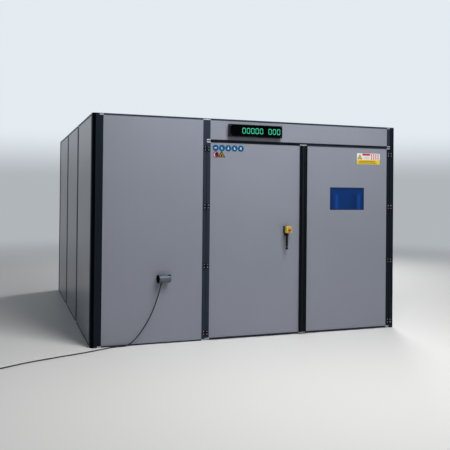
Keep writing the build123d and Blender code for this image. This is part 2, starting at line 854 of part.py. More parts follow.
# Lock case in the hollow of the leaf, open towards the sheet, with the latch sliding out of its side
case_start = lever_middle - case_width / 2
case_end = lever_middle + case_width / 2
with BuildPart() as lock_case:
    with BuildSketch(face_of(front_wall, case_back)) as case_outline:
        with Locations((lever_middle, lever_height)):
            Rectangle(case_width, case_height)
    extrude(case_outline.sketch, amount=case_reach)
    with BuildSketch(face_of(front_wall, case_back - case_wall)) as case_hollow:
        with Locations((lever_middle, lever_height)):
            Rectangle(case_width - 2 * case_wall, case_height - 2 * case_wall)
    extrude(case_hollow.sketch, amount=case_reach - case_wall, mode=Mode.SUBTRACT)
    with BuildSketch(face_of(front_wall, case_back)) as case_bore:
        with Locations((lever_middle, lever_height)):
            Circle(spindle_side)
    extrude(case_bore.sketch, amount=case_wall, mode=Mode.SUBTRACT)
    with BuildSketch(face_of(front_wall, latch_back + spindle_clearance)) as latch_slot:
        with Locations((case_end - case_wall, lever_height)):
            Rectangle(4 * case_wall, latch_height + 2 * spindle_clearance)
    extrude(latch_slot.sketch, amount=latch_thickness + 2 * spindle_clearance, mode=Mode.SUBTRACT)

latch_start = lever_middle + cam_radius + spindle_clearance
latch_end = left_leaf_end - latch_setback
with BuildPart() as latch_bolt:
    with BuildSketch(face_of(front_wall, latch_back)) as latch_bar:
        with Locations(((latch_start + latch_end) / 2, lever_height)):
            Rectangle(latch_end - latch_start, latch_height)
    extrude(latch_bar.sketch, amount=latch_thickness)
    chamfer(latch_bolt.faces().sort_by(Axis.X)[-1].edges().filter_by(Axis.Z), 2 * corner_break)

# Shoot bolts on the back of the right leaf's meeting stile
top_bolt_end = stop_angle_bottom - bolt_top_gap
guide_heights = [
    top_bolt_end - guide_inset,
    top_bolt_end - bolt_length + guide_inset,
    bolt_floor_gap + guide_inset,
    bolt_floor_gap + bolt_length - guide_inset,
]
with BuildPart() as bolt_guides:
    for height in guide_heights:
        with BuildSketch(front_wall.offset(height - guide_height / 2)) as guide:
            with Locations((bolt_line, bolt_depth)):
                Rectangle(guide_width, guide_depth)
            chamfer(guide.vertices().group_by(Axis.Y)[-1], 4 * corner_break)
            with Locations((bolt_line, bolt_depth)):
                Circle(bolt_radius + running_fit, mode=Mode.SUBTRACT)
        extrude(guide.sketch, amount=guide_height)


def shoot_bolt(bottom, knob_height):
    """A round bolt with coned ends and a knob to push it by."""
    with BuildSketch(front_wall.offset(bottom)) as rod:
        with Locations((bolt_line, bolt_depth)):
            Circle(bolt_radius)
    extrude(rod.sketch, amount=bolt_length)
    with BuildSketch(face_of(front_wall, bolt_depth + bolt_radius + bolt_knob_length)) as knob:
        with Locations((bolt_line, knob_height)):
            Circle(bolt_knob_radius)
    extrude(knob.sketch, amount=bolt_radius + bolt_knob_length)


with BuildPart() as top_bolt:
    shoot_bolt(top_bolt_end - bolt_length, top_bolt_end - bolt_length / 2)
    chamfer(top_bolt.faces().sort_by(Axis.Z)[-1].edges(), bolt_tip)

with BuildPart() as bottom_bolt:
    shoot_bolt(bolt_floor_gap, bolt_floor_gap + bolt_length / 2)
    chamfer(bottom_bolt.faces().sort_by(Axis.Z)[0].edges(), bolt_tip)


def actuator(along):
    """The coded block of a door switch, on a foot that stands on the back of the sheet."""
    middle_height = stop_angle_bottom - actuator_drop - actuator_height / 2
    with BuildSketch(face_of(front_wall, sheet_back + actuator_foot)) as foot:
        with Locations((along, middle_height)):
            Rectangle(actuator_width / 2, actuator_height / 2)
    extrude(foot.sketch, amount=actuator_foot)
    with BuildSketch(face_of(front_wall, sheet_back + actuator_foot + actuator_head)) as head:
        with Locations((along, middle_height)):
            RectangleRounded(actuator_width, actuator_height, switch_wall)
    extrude(head.sketch, amount=actuator_head)


left_switch_line = meeting - door_switch_offset
right_switch_line = meeting + door_switch_offset
with BuildPart() as interlock_actuator_left:
    actuator(left_switch_line)

with BuildPart() as interlock_actuator_right:
    actuator(right_switch_line)

# Each door switch hangs under the flange of the stop angle, just behind its actuator
door_switch_front = sheet_back + actuator_foot + actuator_head + door_switch_gap
door_switch_height = actuator_drop + actuator_height
with BuildPart() as interlock_switches:
    for along in [left_switch_line, right_switch_line]:
        with BuildSketch(front_wall.offset(stop_angle_bottom - door_switch_height)) as switch_body:
            with Locations((along, door_switch_front + door_switch_depth / 2)):
                RectangleRounded(door_switch_width, door_switch_depth, switch_wall)
        extrude(switch_body.sketch, amount=door_switch_height)

# Cable outlet: a short barrel along the wall with an open mouth, on a neck through the sheet
turn = math.radians(outlet_turn)
outlet_centre = front_point(outlet_middle, -outlet_standoff, outlet_height)
barrel_plane = Plane(
    origin=outlet_centre,
    x_dir=(0, 0, 1),
    z_dir=(-math.cos(turn), -math.sin(turn), 0),
)
neck_back = sheet_back + neck_length

# The gland stands on a boss under the barrel, and the cable leaves it on a slant
tilt = math.radians(gland_tilt)
gland_centre = outlet_centre + barrel_plane.z_dir * gland_shift
gland_plane = Plane(
    origin=gland_centre,
    x_dir=(0, 1, 0),
    z_dir=(-math.sin(tilt), 0, -math.cos(tilt)),
)
gland_seat = outlet_radius + gland_boss_height
with BuildPart() as outlet_barrel:
    with BuildSketch(barrel_plane) as barrel_outside:
        Circle(outlet_radius)
    extrude(barrel_outside.sketch, amount=outlet_length / 2, both=True)
    with BuildSketch(barrel_plane.offset(outlet_length / 2 - mouth_bead_length)) as bead:
        Circle(outlet_radius + mouth_bead)
    extrude(bead.sketch, amount=mouth_bead_length)
    with BuildSketch(face_of(front_wall, neck_back)) as neck_outside:
        with Locations((outlet_middle, outlet_height)):
            Circle(neck_radius)
    extrude(neck_outside.sketch, amount=neck_back + outlet_standoff)
    with BuildSketch(face_of(front_wall, sheet_front)) as flange:
        with Locations((outlet_middle, outlet_height)):
            Circle(flange_radius)
    extrude(flange.sketch, amount=flange_thickness)
    with BuildSketch(gland_plane) as boss:
        Circle(gland_nut_radius + gland_boss_rim)
    extrude(boss.sketch, amount=gland_seat)
    with BuildSketch(barrel_plane) as barrel_inside:
        Circle(outlet_radius - outlet_wall)
    extrude(barrel_inside.sketch, amount=outlet_length / 2, both=True, mode=Mode.SUBTRACT)
    with BuildSketch(gland_plane) as gland_bore:
        Circle(gland_thread_radius + running_fit)
    extrude(gland_bore.sketch, amount=gland_seat, mode=Mode.SUBTRACT)
    with BuildSketch(face_of(front_wall, neck_back)) as neck_inside:
        with Locations((outlet_middle, outlet_height)):
            Circle(neck_radius - neck_wall)
    extrude(neck_inside.sketch, amount=neck_back + outlet_standoff, mode=Mode.SUBTRACT)

# The neck has a lock ring behind the sheet. A bent spring clip holds the cap from a foot on the
# barrel, and a lug for a second clip stands at the mouth.
lean = math.radians(clip_angle)
clip_line = barrel_plane.x_dir * math.cos(lean) - barrel_plane.y_dir * math.sin(lean)
clip_plane = Plane(
    origin=outlet_centre,
    x_dir=barrel_plane.z_dir,
    z_dir=barrel_plane.z_dir.cross(clip_line),
)
clip_level = outlet_radius + cap_rim + clip_thickness / 2
clip_end = -outlet_length / 2 - cap_thickness - clip_thickness / 2
foot_end = clip_reach - outlet_length / 2
lug_end = outlet_length / 2 - lug_inset
with BuildPart() as outlet_fittings:
    with BuildSketch(clip_plane) as clip_strip:
        with BuildLine():
            FilletPolyline(
                (clip_end, clip_level - clip_drop),
                (clip_end, clip_level),
                (foot_end, clip_level),
                radius=clip_thickness,
            )
        trace(line_width=clip_thickness)
    extrude(clip_strip.sketch, amount=clip_width / 2, both=True)
    with BuildSketch(clip_plane) as clip_feet:
        with Locations((foot_end - clip_foot / 2, outlet_radius)):
            Rectangle(clip_foot, 2 * cap_rim)
        with Locations((lug_end - clip_foot / 2, outlet_radius)):
            Rectangle(clip_foot, 2 * lug_rise)
    extrude(clip_feet.sketch, amount=clip_width / 2, both=True)
    with BuildSketch(barrel_plane) as clip_seat:
        Circle(outlet_radius + running_fit)
    extrude(clip_seat.sketch, amount=outlet_length / 2, both=True, mode=Mode.SUBTRACT)
    with BuildSketch(face_of(front_wall, sheet_back + ring_thickness)) as ring:
        with Locations((outlet_middle, outlet_height)):
            Circle(ring_radius)
            Circle(neck_radius + running_fit, mode=Mode.SUBTRACT)
    extrude(ring.sketch, amount=ring_thickness)

with BuildPart() as outlet_cap:
    with BuildSketch(barrel_plane.offset(-outlet_length / 2 - cap_thickness)) as cap_disc:
        Circle(outlet_radius + cap_rim)
    extrude(cap_disc.sketch, amount=cap_thickness)
    outer_faces = outlet_cap.faces().sort_by(Axis(outlet_centre, barrel_plane.z_dir))
    chamfer(outer_faces[0].edges(), cap_bevel)
    with BuildSketch(barrel_plane.offset(-outlet_length / 2)) as spigot:
        Circle(outlet_radius - outlet_wall - running_fit)
        Circle(outlet_radius - 2 * outlet_wall, mode=Mode.SUBTRACT)
    extrude(spigot.sketch, amount=cap_spigot)

with BuildPart() as outlet_gland:
    thread_start = outlet_radius - 2 * outlet_wall
    with BuildSketch(gland_plane.offset(thread_start)) as thread:
        Circle(gland_thread_radius)
    extrude(thread.sketch, amount=gland_seat - thread_start)
    with BuildSketch(gland_plane.offset(gland_seat)) as nut:
        RegularPolygon(gland_nut_radius, 6)
    extrude(nut.sketch, amount=gland_nut_height)
    with BuildSketch(gland_plane.offset(gland_seat + gland_nut_height)) as dome_start:
        Circle(gland_nut_radius * 0.8)
    with BuildSketch(gland_plane.offset(gland_seat + gland_length)) as dome_end:
        Circle(cable_diameter / 2 + relief_wall)
    loft(Sketch() + [dome_start.sketch, dome_end.sketch])

# Supply cable. Its route is given along the front wall, inwards from its outer face, and up.
cable_radius = cable_diameter / 2
cable_exit = gland_centre + gland_plane.z_dir * (gland_seat + gland_length)
coil_spread = cable_diameter * coil_turns_per_layer / 2
coil_outer_turn = coil_turn_radius + coil_spread
route = [
    (672, -53, 531),
    (648, -54, 456),
    (619, -52, 372),
    (582, -48, 287),
    (534, -43, 199),
    (478, -37, 118),
    (419, -31, 50),
    (354, -27, cable_radius),
    (263, -25, cable_radius),
    (173, -52, cable_radius),
    (80, -100, cable_radius),
    (-24, -149, cable_radius),
    (-142, -196, cable_radius),
    (-268, -240, cable_radius),
    (-397, -291, cable_radius),
    (-524, -338, cable_radius),
    (-640, -393, cable_radius),
    (-740, -455, cable_radius),
    (-830, -506, cable_radius),
    (-912, -556, cable_radius),
]
cable_points = [cable_exit] + [front_point(*point) for point in route]


def corner_radius(before, corner, after):
    """The radius of an arc that takes 0.45 of the shorter run on each side of a corner."""
    turn_angle = math.radians((corner - before).get_angle(after - corner))
    shorter = min((corner - before).length, (after - corner).length)
    return 0.45 * shorter / math.tan(turn_angle / 2)


corner_radii = [
    corner_radius(before, corner, after)
    for before, corner, after in zip(cable_points, cable_points[1:], cable_points[2:])
]
print("cable radii", [round(radius) for radius in corner_radii])

# The coil lies where the cable ends: its outer turn starts in the cable's last direction
arrival = (cable_points[-1] - cable_points[-2]).normalized()
coil_side = Vector(arrival.Y, -arrival.X, 0)
coil_centre = cable_points[-1] + coil_side * coil_outer_turn
coil_height = 2 * cable_diameter
tail_start = cable_points[-1] + Vector(0, 0, cable_diameter)
plug_entry = cable_points[-1] + arrival * tail_length
plug_entry = Vector(plug_entry.X, plug_entry.Y, plug_body_radius)
with BuildPart() as cable_coil:
    with BuildSketch(Plane(origin=(coil_centre.X, coil_centre.Y, 0), z_dir=(0, 0, 1))) as ring_plan:
        Circle(coil_outer_turn + cable_radius)
        Circle(coil_turn_radius - coil_spread - cable_radius, mode=Mode.SUBTRACT)
    extrude(ring_plan.sketch, amount=coil_height)

# Plug: a tapered relief, a round body and two pins, lying on the floor
plug_plane = Plane(origin=plug_entry, x_dir=(0, 0, 1), z_dir=arrival)
with BuildPart() as cable_plug:
    with BuildSketch(plug_plane) as relief_start:
        Circle(cable_radius + relief_wall)
    with BuildSketch(plug_plane.offset(plug_relief_length)) as relief_end:
        Circle(plug_body_radius * 0.7)
    loft(Sketch() + [relief_start.sketch, relief_end.sketch])
    with BuildSketch(plug_plane.offset(plug_relief_length)) as plug_body:
        Circle(plug_body_radius)
    extrude(plug_body.sketch, amount=plug_body_length)
    with BuildSketch(plug_plane.offset(plug_relief_length + plug_body_length)) as pins:
        with GridLocations(1, plug_pin_spacing, 1, 2):
            Circle(plug_pin_radius)
    extrude(pins.sketch, amount=plug_pin_length)

# The cable's tube runs into the wound turns, and its tail runs from them to the plug
with BuildPart() as cable:
    with BuildLine() as cable_path:
        FilletPolyline(*cable_points, radius=corner_radii)
    with BuildSketch(Plane(origin=cable_points[0], z_dir=gland_plane.z_dir)) as cable_section:
        Circle(cable_radius)
    sweep(cable_section.sketch, path=cable_path.wire())
    with BuildSketch(Plane(origin=tail_start, z_dir=plug_entry - tail_start)) as tail_section:
        Circle(cable_radius)
    extrude(tail_section.sketch, amount=(plug_entry - tail_start).length)
path_length = cable_path.wire().length
coiled_length = 2 * math.pi * coil_turn_radius * 2 * coil_turns_per_layer
print("cable along its route", round(path_length), "coiled", round(coiled_length))
print("cable in all", round(path_length + coiled_length + tail_length))

pieces = {
    "corner_post_front_left": corner_post_front_left,
    "corner_post_front_right": corner_post_front_right,
    "corner_post_rear_left": corner_post_rear_left,
    "corner_post_rear_right": corner_post_rear_right,
    "front_uprights": front_uprights,
    "front_rails": front_rails,
    "side_uprights": side_uprights,
    "side_rails": side_rails,
    "rear_uprights": rear_uprights,
    "rear_rails": rear_rails,
    "end_blocks": end_blocks,
    "front_wall_sheet": front_wall_sheet,
    "header_sheet": header_sheet,
    "left_wall_sheets": left_wall_sheets,
    "right_wall_sheets": right_wall_sheets,
    "rear_wall_sheets": rear_wall_sheets,
    "roof_sheets": roof_sheets,
    "roof_beams": roof_beams,
    "work_lights": work_lights,
    "door_stops": door_stops,
    "wall_hinge_leaves": wall_hinge_leaves,
    "sign_housing": sign_housing,
    "sign_face": sign_face,
    "interlock_switches": interlock_switches,
    "outlet_barrel": outlet_barrel,
    "outlet_fittings": outlet_fittings,
    "outlet_cap": outlet_cap,
    "outlet_gland": outlet_gland,
    "cable": cable,
    "cable_coil": cable_coil,
    "cable_plug": cable_plug,
    "door_left_hinge_stile": door_left_hinge_stile,
    "door_left_meeting_stile": door_left_meeting_stile,
    "door_left_rails": door_left_rails,
    "door_left_end_blocks": door_left_end_blocks,
    "door_left_sheet": door_left_sheet,
    "door_left_hinge_leaves": door_left_hinge_leaves,
    "door_left_seals": door_left_seals,
    "interlock_actuator_left": interlock_actuator_left,
    "lock_case": lock_case,
    "switch_base": switch_base,
    "switch_cover": switch_cover,
    "door_lever": door_lever,
    "inner_lever": inner_lever,
    "latch_bolt": latch_bolt,
    "stop_button_stem": stop_button_stem,
    "stop_button_head": stop_button_head,
    "door_right_hinge_stile": door_right_hinge_stile,
    "door_right_meeting_stile": door_right_meeting_stile,
    "door_right_rails": door_right_rails,
    "door_right_end_blocks": door_right_end_blocks,
    "door_right_sheet": door_right_sheet,
    "door_right_hinge_leaves": door_right_hinge_leaves,
    "door_right_seals": door_right_seals,
    "interlock_actuator_right": interlock_actuator_right,
    "window_gasket": window_gasket,
    "window_pane": window_pane,
    "bolt_guides": bolt_guides,
    "top_bolt": top_bolt,
    "bottom_bolt": bottom_bolt,
}
for label, piece in pieces.items():
    piece.part.label = label
    export_step(piece.part, f"parts/{label}.step")
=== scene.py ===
"""Finishes, small fittings and stage for a walk-in laser welding cell."""

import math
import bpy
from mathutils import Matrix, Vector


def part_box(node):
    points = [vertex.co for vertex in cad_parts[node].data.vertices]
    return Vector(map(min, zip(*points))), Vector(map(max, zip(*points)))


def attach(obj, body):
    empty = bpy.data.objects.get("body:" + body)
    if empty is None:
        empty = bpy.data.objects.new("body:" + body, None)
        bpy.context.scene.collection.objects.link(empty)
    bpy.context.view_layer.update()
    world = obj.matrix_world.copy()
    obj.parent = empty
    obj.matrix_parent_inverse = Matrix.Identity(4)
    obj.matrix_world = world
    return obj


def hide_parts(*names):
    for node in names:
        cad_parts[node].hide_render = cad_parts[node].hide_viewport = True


bl_info = {
    "name": "Laser Welding Cell Dressing",
    "version": (1, 0, 0),
    "blender": (4, 5, 0),
    "location": "View3D > Sidebar > Welding Cell",
    "description": "Gives the packed welding cell its finishes, small fittings, lead and studio",
    "category": "Object",
}

import bmesh
import bpy
from bpy.props import FloatProperty, FloatVectorProperty, IntProperty, PointerProperty
from mathutils import Matrix, Vector

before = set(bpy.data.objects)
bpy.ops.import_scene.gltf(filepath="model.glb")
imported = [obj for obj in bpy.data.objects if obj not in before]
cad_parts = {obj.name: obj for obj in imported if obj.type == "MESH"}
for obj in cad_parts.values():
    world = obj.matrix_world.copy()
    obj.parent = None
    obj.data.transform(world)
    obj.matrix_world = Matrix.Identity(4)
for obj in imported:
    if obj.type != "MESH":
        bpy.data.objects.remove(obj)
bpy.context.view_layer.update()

MM = 0.001
# The dark oxide takes more red than blue from what it reflects
OXIDE_TINT = (0.6, 0.78, 1.0, 1.0)
# The diodes of the display stand this far apart
DIODE_PITCH = 6 * MM
# Screws in the corners of a part stand this far inside its edges
CORNER_SCREW_INSET = 9 * MM
# From the lever's hub to the middle of its knob
LEVER_LENGTH = 146 * MM
LEVER_KNOB_RADIUS = 15 * MM

# The outer corner where the front wall starts: places are given along the wall, inwards and up
front_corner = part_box("corner_post_front_left")[0]


def on_front(along, inset, height):
    """A point in metres along the front wall, inwards from its outer face, and up."""
    return Vector((front_corner.x + along, front_corner.y + inset, height))


def linear(colour):
    """The linear RGB colour of an sRGB hex code. A colour that is linear already stays as it is."""
    if not isinstance(colour, str):
        return tuple(colour)
    parts = [int(colour[index : index + 2], 16) / 255 for index in (1, 3, 5)]
    return tuple(p / 12.92 if p <= 0.04045 else ((p + 0.055) / 1.055) ** 2.4 for p in parts)


def colour_property(name, description, code):
    """A colour that the user can change, with its default as a hex code."""
    return FloatVectorProperty(
        name=name, description=description, subtype="COLOR", min=0.0, max=1.0, default=linear(code)
    )


def length_property(name, description, millimetres):
    """A length that the user can change, with its default in millimetres."""
    return FloatProperty(
        name=name,
        description=description,
        subtype="DISTANCE",
        unit="LENGTH",
        min=0.0,
        default=millimetres * MM,
    )


class CellColours(bpy.types.PropertyGroup):
    """Colours of the cell's finishes."""

    sheet: colour_property("Sheets", "Powder coat of the wall sheets", "#868a96")
    extrusion: colour_property("Extrusions", "Dark anodising of the edge extrusions", "#2a2f3b")
    # Also the black of the rails beside the gap over the left leaf, where it is painted shade
    meeting: colour_property("Meeting stiles", "Black anodising beside the doors' gaps", "#07090d")
    display: colour_property("Display", "Light of the display's segments", "#2fb287")
    pane: colour_property("Window", "Laser filter pane", "#0d3674")
    cover: colour_property("Switch cover", "Yellow of the stop switch's cover", "#cfb62c")
    button: colour_property("Stop button", "Red of the stop button", "#bd352e")
    outlet: colour_property("Outlet", "Plastic of the cable outlet", "#4b5462")
    sheath: colour_property("Lead", "Sheath of the supply lead", "#101114")


class CellSizes(bpy.types.PropertyGroup):
    """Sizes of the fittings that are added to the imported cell."""

    screw_radius: length_property("Screw radius", "Radius of the hinge screws' heads", 4.2)
    screw_height: length_property("Screw height", "Height of the hinge screws' heads", 2.4)
    digit_height: length_property("Digit height", "Height of the display's digits", 60.0)
    digit_width: length_property("Digit width", "Width of the display's digits", 37.0)
    digit_pitch: length_property("Digit pitch", "Distance from digit to digit", 49.5)
    digit_stroke: length_property("Digit stroke", "Width of a lit segment", 6.2)
    disc_radius: length_property("Disc radius", "Radius of the blue sign discs", 33.5)
    disc_pitch: length_property("Disc pitch", "Distance from disc to disc", 70.0)
    plate_width: length_property("Plate width", "Width of the colour plate on the right leaf", 298.0)
    plate_height: length_property("Plate height", "Height of that plate", 123.0)
    sticker: length_property("Sticker thickness", "Thickness of foil and plates", 0.4)
    lead_diameter: length_property("Lead diameter", "Outer diameter of the supply lead", 11.0)
    turn_points: IntProperty(
        name="Points per turn", description="Spline points in one turn of the coil", default=16, min=12
    )


def add_node(tree, kind, values=None, links=None, **properties):
    """Adds a node with its own properties, its sockets' values and the links into them."""
    node = tree.nodes.new(kind)
    for name, value in properties.items():
        setattr(node, name, value)
    for socket, value in (values or {}).items():
        node.inputs[socket].default_value = value
    for socket, output in (links or {}).items():
        tree.links.new(output, node.inputs[socket])
    return node


def new_surface(name, colour, **sockets):
    """A material with a Principled shader: returns the material, its tree and the shader. The tree's
    place node gives its patterns the spot on the object in metres."""
    material = bpy.data.materials.new(name)
    material.use_nodes = True
    tree = material.node_tree
    add_node(tree, "ShaderNodeTexCoord", name="place")
    shader = tree.nodes["Principled BSDF"]
    shader.inputs["Base Color"].default_value = (*linear(colour), 1.0)
    for socket, value in sockets.items():
        shader.inputs[socket.replace("_", " ")].default_value = value
    return material, tree, shader


def vary(tree, shader, period, depth, rough, relief=0.0, stretch=(1, 1, 1)):
    """Lets colour, roughness and height follow a noise with the given period in metres. Depth is the
    colour's share up and down, rough the lowest and highest roughness, relief the height in metres."""
    colour = shader.inputs["Base Color"].default_value[:3]
    dark = tuple(part * (1 - depth) for part in colour)
    light = tuple(min(1.0, part * (1 + depth)) for part in colour)
    place = tree.nodes["place"].outputs["Object"]
    scaled = add_node(tree, "ShaderNodeMapping", {"Scale": Vector(stretch)}, {"Vector": place})
    grain = {"Scale": 1 / period, "Detail": 4.0, "Roughness": 0.55}
    noise = add_node(tree, "ShaderNodeTexNoise", grain, {"Vector": scaled.outputs["Vector"]}).outputs["Fac"]
    tones = {"A": (*dark, 1.0), "B": (*light, 1.0)}
    tint = add_node(tree, "ShaderNodeMix", tones, {"Factor": noise}, data_type="RGBA")
    tree.links.new(tint.outputs["Result"], shader.inputs["Base Color"])
    span = add_node(tree, "ShaderNodeMapRange", {"To Min": rough[0], "To Max": rough[1]}, {"Value": noise})
    tree.links.new(span.outputs["Result"], shader.inputs["Roughness"])
    if relief:
        bump = add_node(tree, "ShaderNodeBump", {"Strength": 0.35, "Distance": relief}, {"Height": noise})
        tree.links.new(bump.outputs["Normal"], shader.inputs["Normal"])


def new_finish(name, colour, grain, **sockets):
    """A material that is even but for its grain: the values of vary from the period on."""
    material, tree, shader = new_surface(name, colour, **sockets)
    vary(tree, shader, *grain)
    return material


def share_across(tree, node, axis):
    """An output that runs from 0 to 1 over the box of a CAD node, along its x or z."""
    low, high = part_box(node)
    parts = add_node(tree, "ShaderNodeSeparateXYZ", links={"Vector": tree.nodes["place"].outputs["Object"]})
    reach = {"From Min": getattr(low, axis), "From Max": getattr(high, axis)}
    along = {"Value": parts.outputs[axis.upper()]}
    return add_node(tree, "ShaderNodeMapRange", reach, along).outputs["Result"]


def set_stops(ramp, stops, interpolation="EASE"):
    """Sets a colour ramp's stops, each a position and a colour, from the first to the last."""
    ramp.interpolation = interpolation
    for element, (position, tone) in zip(ramp.elements, (stops[0], stops[-1])):
        element.position = position
        element.color = (*tone, 1.0)
    for position, tone in stops[1:-1]:
        ramp.elements.new(position).color = (*tone, 1.0)


def diode_field(tree, near, far, least):
    """An output that is 1 at the middle of each diode in a square field and falls to the least value
    between these shares of their pitch."""
    rows = {"Scale": 1 / DIODE_PITCH, "Randomness": 0.0}
    cells = add_node(tree, "ShaderNodeTexVoronoi", rows, {"Vector": tree.nodes["place"].outputs["Object"]})
    fall = {"From Min": near, "From Max": far, "To Min": 1.0, "To Max": least}
    distance = {"Value": cells.outputs["Distance"]}
    return add_node(tree, "ShaderNodeMapRange", fall, distance).outputs["Result"]


def powder_coated_steel(name, colour):
    """Steel sheet with a sprayed and baked polyester powder: an even satin film with a soft, shallow
    orange peel. The peel is about 2 mm from crest to crest and is drawn at 14 mm so that it shows."""
    material, tree, shader = new_surface(name, colour, IOR=1.5, Specular_IOR_Level=0.5)
    vary(tree, shader, 14 * MM, depth=0.012, rough=(0.27, 0.33), relief=0.12 * MM)
    # Handling and the spray gun leave faint clouds in the film, about 0.9 m wide
    place = tree.nodes["place"].outputs["Object"]
    cloud = add_node(tree, "ShaderNodeTexNoise", {"Scale": 1 / 0.9, "Detail": 3.0}, {"Vector": place})
    span = {"From Min": 0.3, "From Max": 0.7, "To Min": 0.965, "To Max": 1.03}
    shade = add_node(tree, "ShaderNodeMapRange", span, {"Value": cloud.outputs["Fac"]})
    parts = {0: shader.inputs["Base Color"].links[0].from_socket, 1: shade.outputs["Result"]}
    shaded = add_node(tree, "ShaderNodeVectorMath", links=parts, operation="MULTIPLY")
    tree.links.new(shaded.outputs["Vector"], shader.inputs["Base Color"])
    return material


def anodised_extrusion(name, colour, length_axis, gloss=0.2):
    """Extruded aluminium, etched and anodised dark: a metal under a thin tinted oxide, with the fine
    draw lines of the die along its length. Lines lie about 1 mm apart and are drawn at 3 mm."""
    along = {"X": (0.01, 1, 1), "Y": (1, 0.01, 1), "Z": (1, 1, 0.01)}[length_axis]
    grain = (3 * MM, 0.10, (0.42, 0.54), 0.05 * MM, along)
    oxide = {"Specular_IOR_Level": gloss, "Specular_Tint": OXIDE_TINT}
    return new_finish(name, colour, grain, Metallic=0.35, **oxide)


def painted_rib_highlight_extrusion(name, colour, node, highlight_share):
    """The same metal, anodised black, with a painted highlight along the front for a rounded crest
    catching the light. The highlight is about a third as wide as the profile and its brightest line
    stands at this share of the width."""
    colour = linear(colour)
    # The brightest line of the painted highlight, five times the black
    lit = tuple(part * 5.0 for part in colour)
    material = anodised_extrusion(name, colour, "Z", 0.1)
    tree = material.node_tree
    highlight_ramp = add_node(tree, "ShaderNodeValToRGB", links={"Fac": share_across(tree, node, "x")})
    flank = 0.16
    highlight_stops = [(highlight_share - flank, colour), (highlight_share, lit), (highlight_share + flank, colour)]
    set_stops(highlight_ramp.color_ramp, [(0.0, colour), *highlight_stops, (1.0, colour)])
    tree.links.new(highlight_ramp.outputs["Color"], tree.nodes["Principled BSDF"].inputs["Base Color"])
    return material


def sawn_aluminium(name):
    """Bare aluminium alloy, sawn and lightly brushed: bright, with short marks across the block."""
    return new_finish(name, "#bdc0c3", (2 * MM, 0.08, (0.42, 0.6), 0.04 * MM, (1, 1, 0.1)), Metallic=0.6)


def plated_steel(name, colour="#a9adb1"):
    """Steel with a thin bright zinc layer: a cool metal whose crystal patches, about 8 mm wide,
    differ slightly in gloss."""
    return new_finish(name, colour, (8 * MM, 0.07, (0.25, 0.42)), Metallic=0.95)


def black_coated_metal(name, colour="#0d0e11", rough=(0.38, 0.5)):
    """Cast zinc or steel with a black stoved coat: dark, satin, with a fine grain of about 1.5 mm,
    drawn at 4 mm."""
    return new_finish(name, colour, (4 * MM, 0.15, rough, 0.06 * MM), IOR=1.5, Specular_IOR_Level=0.15)


def moulded_plastic(name, colour, rough=(0.38, 0.5), relief=0.04):
    """ABS or polyamide from an etched mould: even colour and a fine matt grain, drawn at 3 mm.
    Black grades carry soot to the very surface, which takes most of their sheen."""
    sheen = 0.15 if max(linear(colour)) < 0.01 else 0.5
    grain = (3 * MM, 0.04, rough, relief * MM)
    return new_finish(name, colour, grain, IOR=1.53, Specular_IOR_Level=sheen)


def extruded_rubber(name, colour="#0b0c0e"):
    """EPDM rubber from an extruder: nearly black, matt, with a faint bloom in patches of 25 mm."""
    grain = (25 * MM, 0.25, (0.6, 0.78), 0.05 * MM)
    return new_finish(name, colour, grain, IOR=1.52, Specular_IOR_Level=0.25)


def bristle_brush(name):
    """Nylon bristles set in a strip: near black, matt, in upright strands drawn 4 mm apart."""
    return new_finish(name, "#17181b", (4 * MM, 0.5, (0.7, 0.85), 0.6 * MM, (1, 1, 0.02)), IOR=1.53)


def filter_polycarbonate(name, colour):
    """Laser filter polycarbonate, cast and dyed through: a deep clear blue with a hard gloss.
    The dye takes nearly all light; broad soft bands of painted light in its colour stand in for the room
    behind."""
    material, tree, shader = new_surface(
        name, colour, IOR=1.58, Roughness=0.12, Specular_IOR_Level=0.04, Transmission_Weight=0.15
    )
    colour = linear(colour)
    deep = tuple(part * 0.72 for part in colour)
    # The painted light of the bands
    bright = tuple(min(1.0, part * 1.75) for part in colour)
    across = share_across(tree, "window_pane", "x")
    upward = share_across(tree, "window_pane", "z")
    bands = add_node(tree, "ShaderNodeValToRGB", links={"Fac": across})
    stops = [(0.0, deep), (0.12, colour), (0.19, bright), (0.27, colour), (0.45, colour)]
    set_stops(bands.color_ramp, stops + [(0.76, deep), (0.86, bright), (0.93, colour), (1.0, deep)])
    # The painted light bands end below the top edge, which is darker
    above = add_node(tree, "ShaderNodeMapRange", {"From Min": 0.62, "From Max": 0.78}, {"Value": upward})
    upper = add_node(tree, "ShaderNodeValToRGB", links={"Fac": upward})
    set_stops(upper.color_ramp, [(0.88, colour), (0.97, deep)], "LINEAR")
    parts = {"Factor": above.outputs["Result"], "A": bands.outputs["Color"], "B": upper.outputs["Color"]}
    tint = add_node(tree, "ShaderNodeMix", links=parts, data_type="RGBA")
    tree.links.new(tint.outputs["Result"], shader.inputs["Base Color"])
    return material


def smoked_acrylic(name):
    """Cast acrylic dyed grey-black: a hard, level gloss over rows of unlit diodes, 6 mm apart."""
    face, diode = linear("#010204"), linear("#050709")
    material, tree, shader = new_surface(name, face, IOR=1.49, Roughness=0.25, Specular_IOR_Level=0.02)
    tones = {"A": (*face, 1.0), "B": (*diode, 1.0)}
    field = {"Factor": diode_field(tree, 0.25, 0.4, 0.0)}
    tint = add_node(tree, "ShaderNodeMix", tones, field, data_type="RGBA")
    tree.links.new(tint.outputs["Result"], shader.inputs["Base Color"])
    return material


def lit_diode(name, colour):
    """Green light-emitting diodes behind a diffuser: even light with their 6 mm beat in it."""
    material, tree, shader = new_surface(name, colour, Roughness=0.5, Emission_Strength=0.62)
    field = {1: diode_field(tree, 0.1, 0.7, 0.6)}
    light = add_node(tree, "ShaderNodeVectorMath", {0: linear(colour)}, field, operation="MULTIPLY")
    tree.links.new(light.outputs["Vector"], shader.inputs["Emission Color"])
    return material


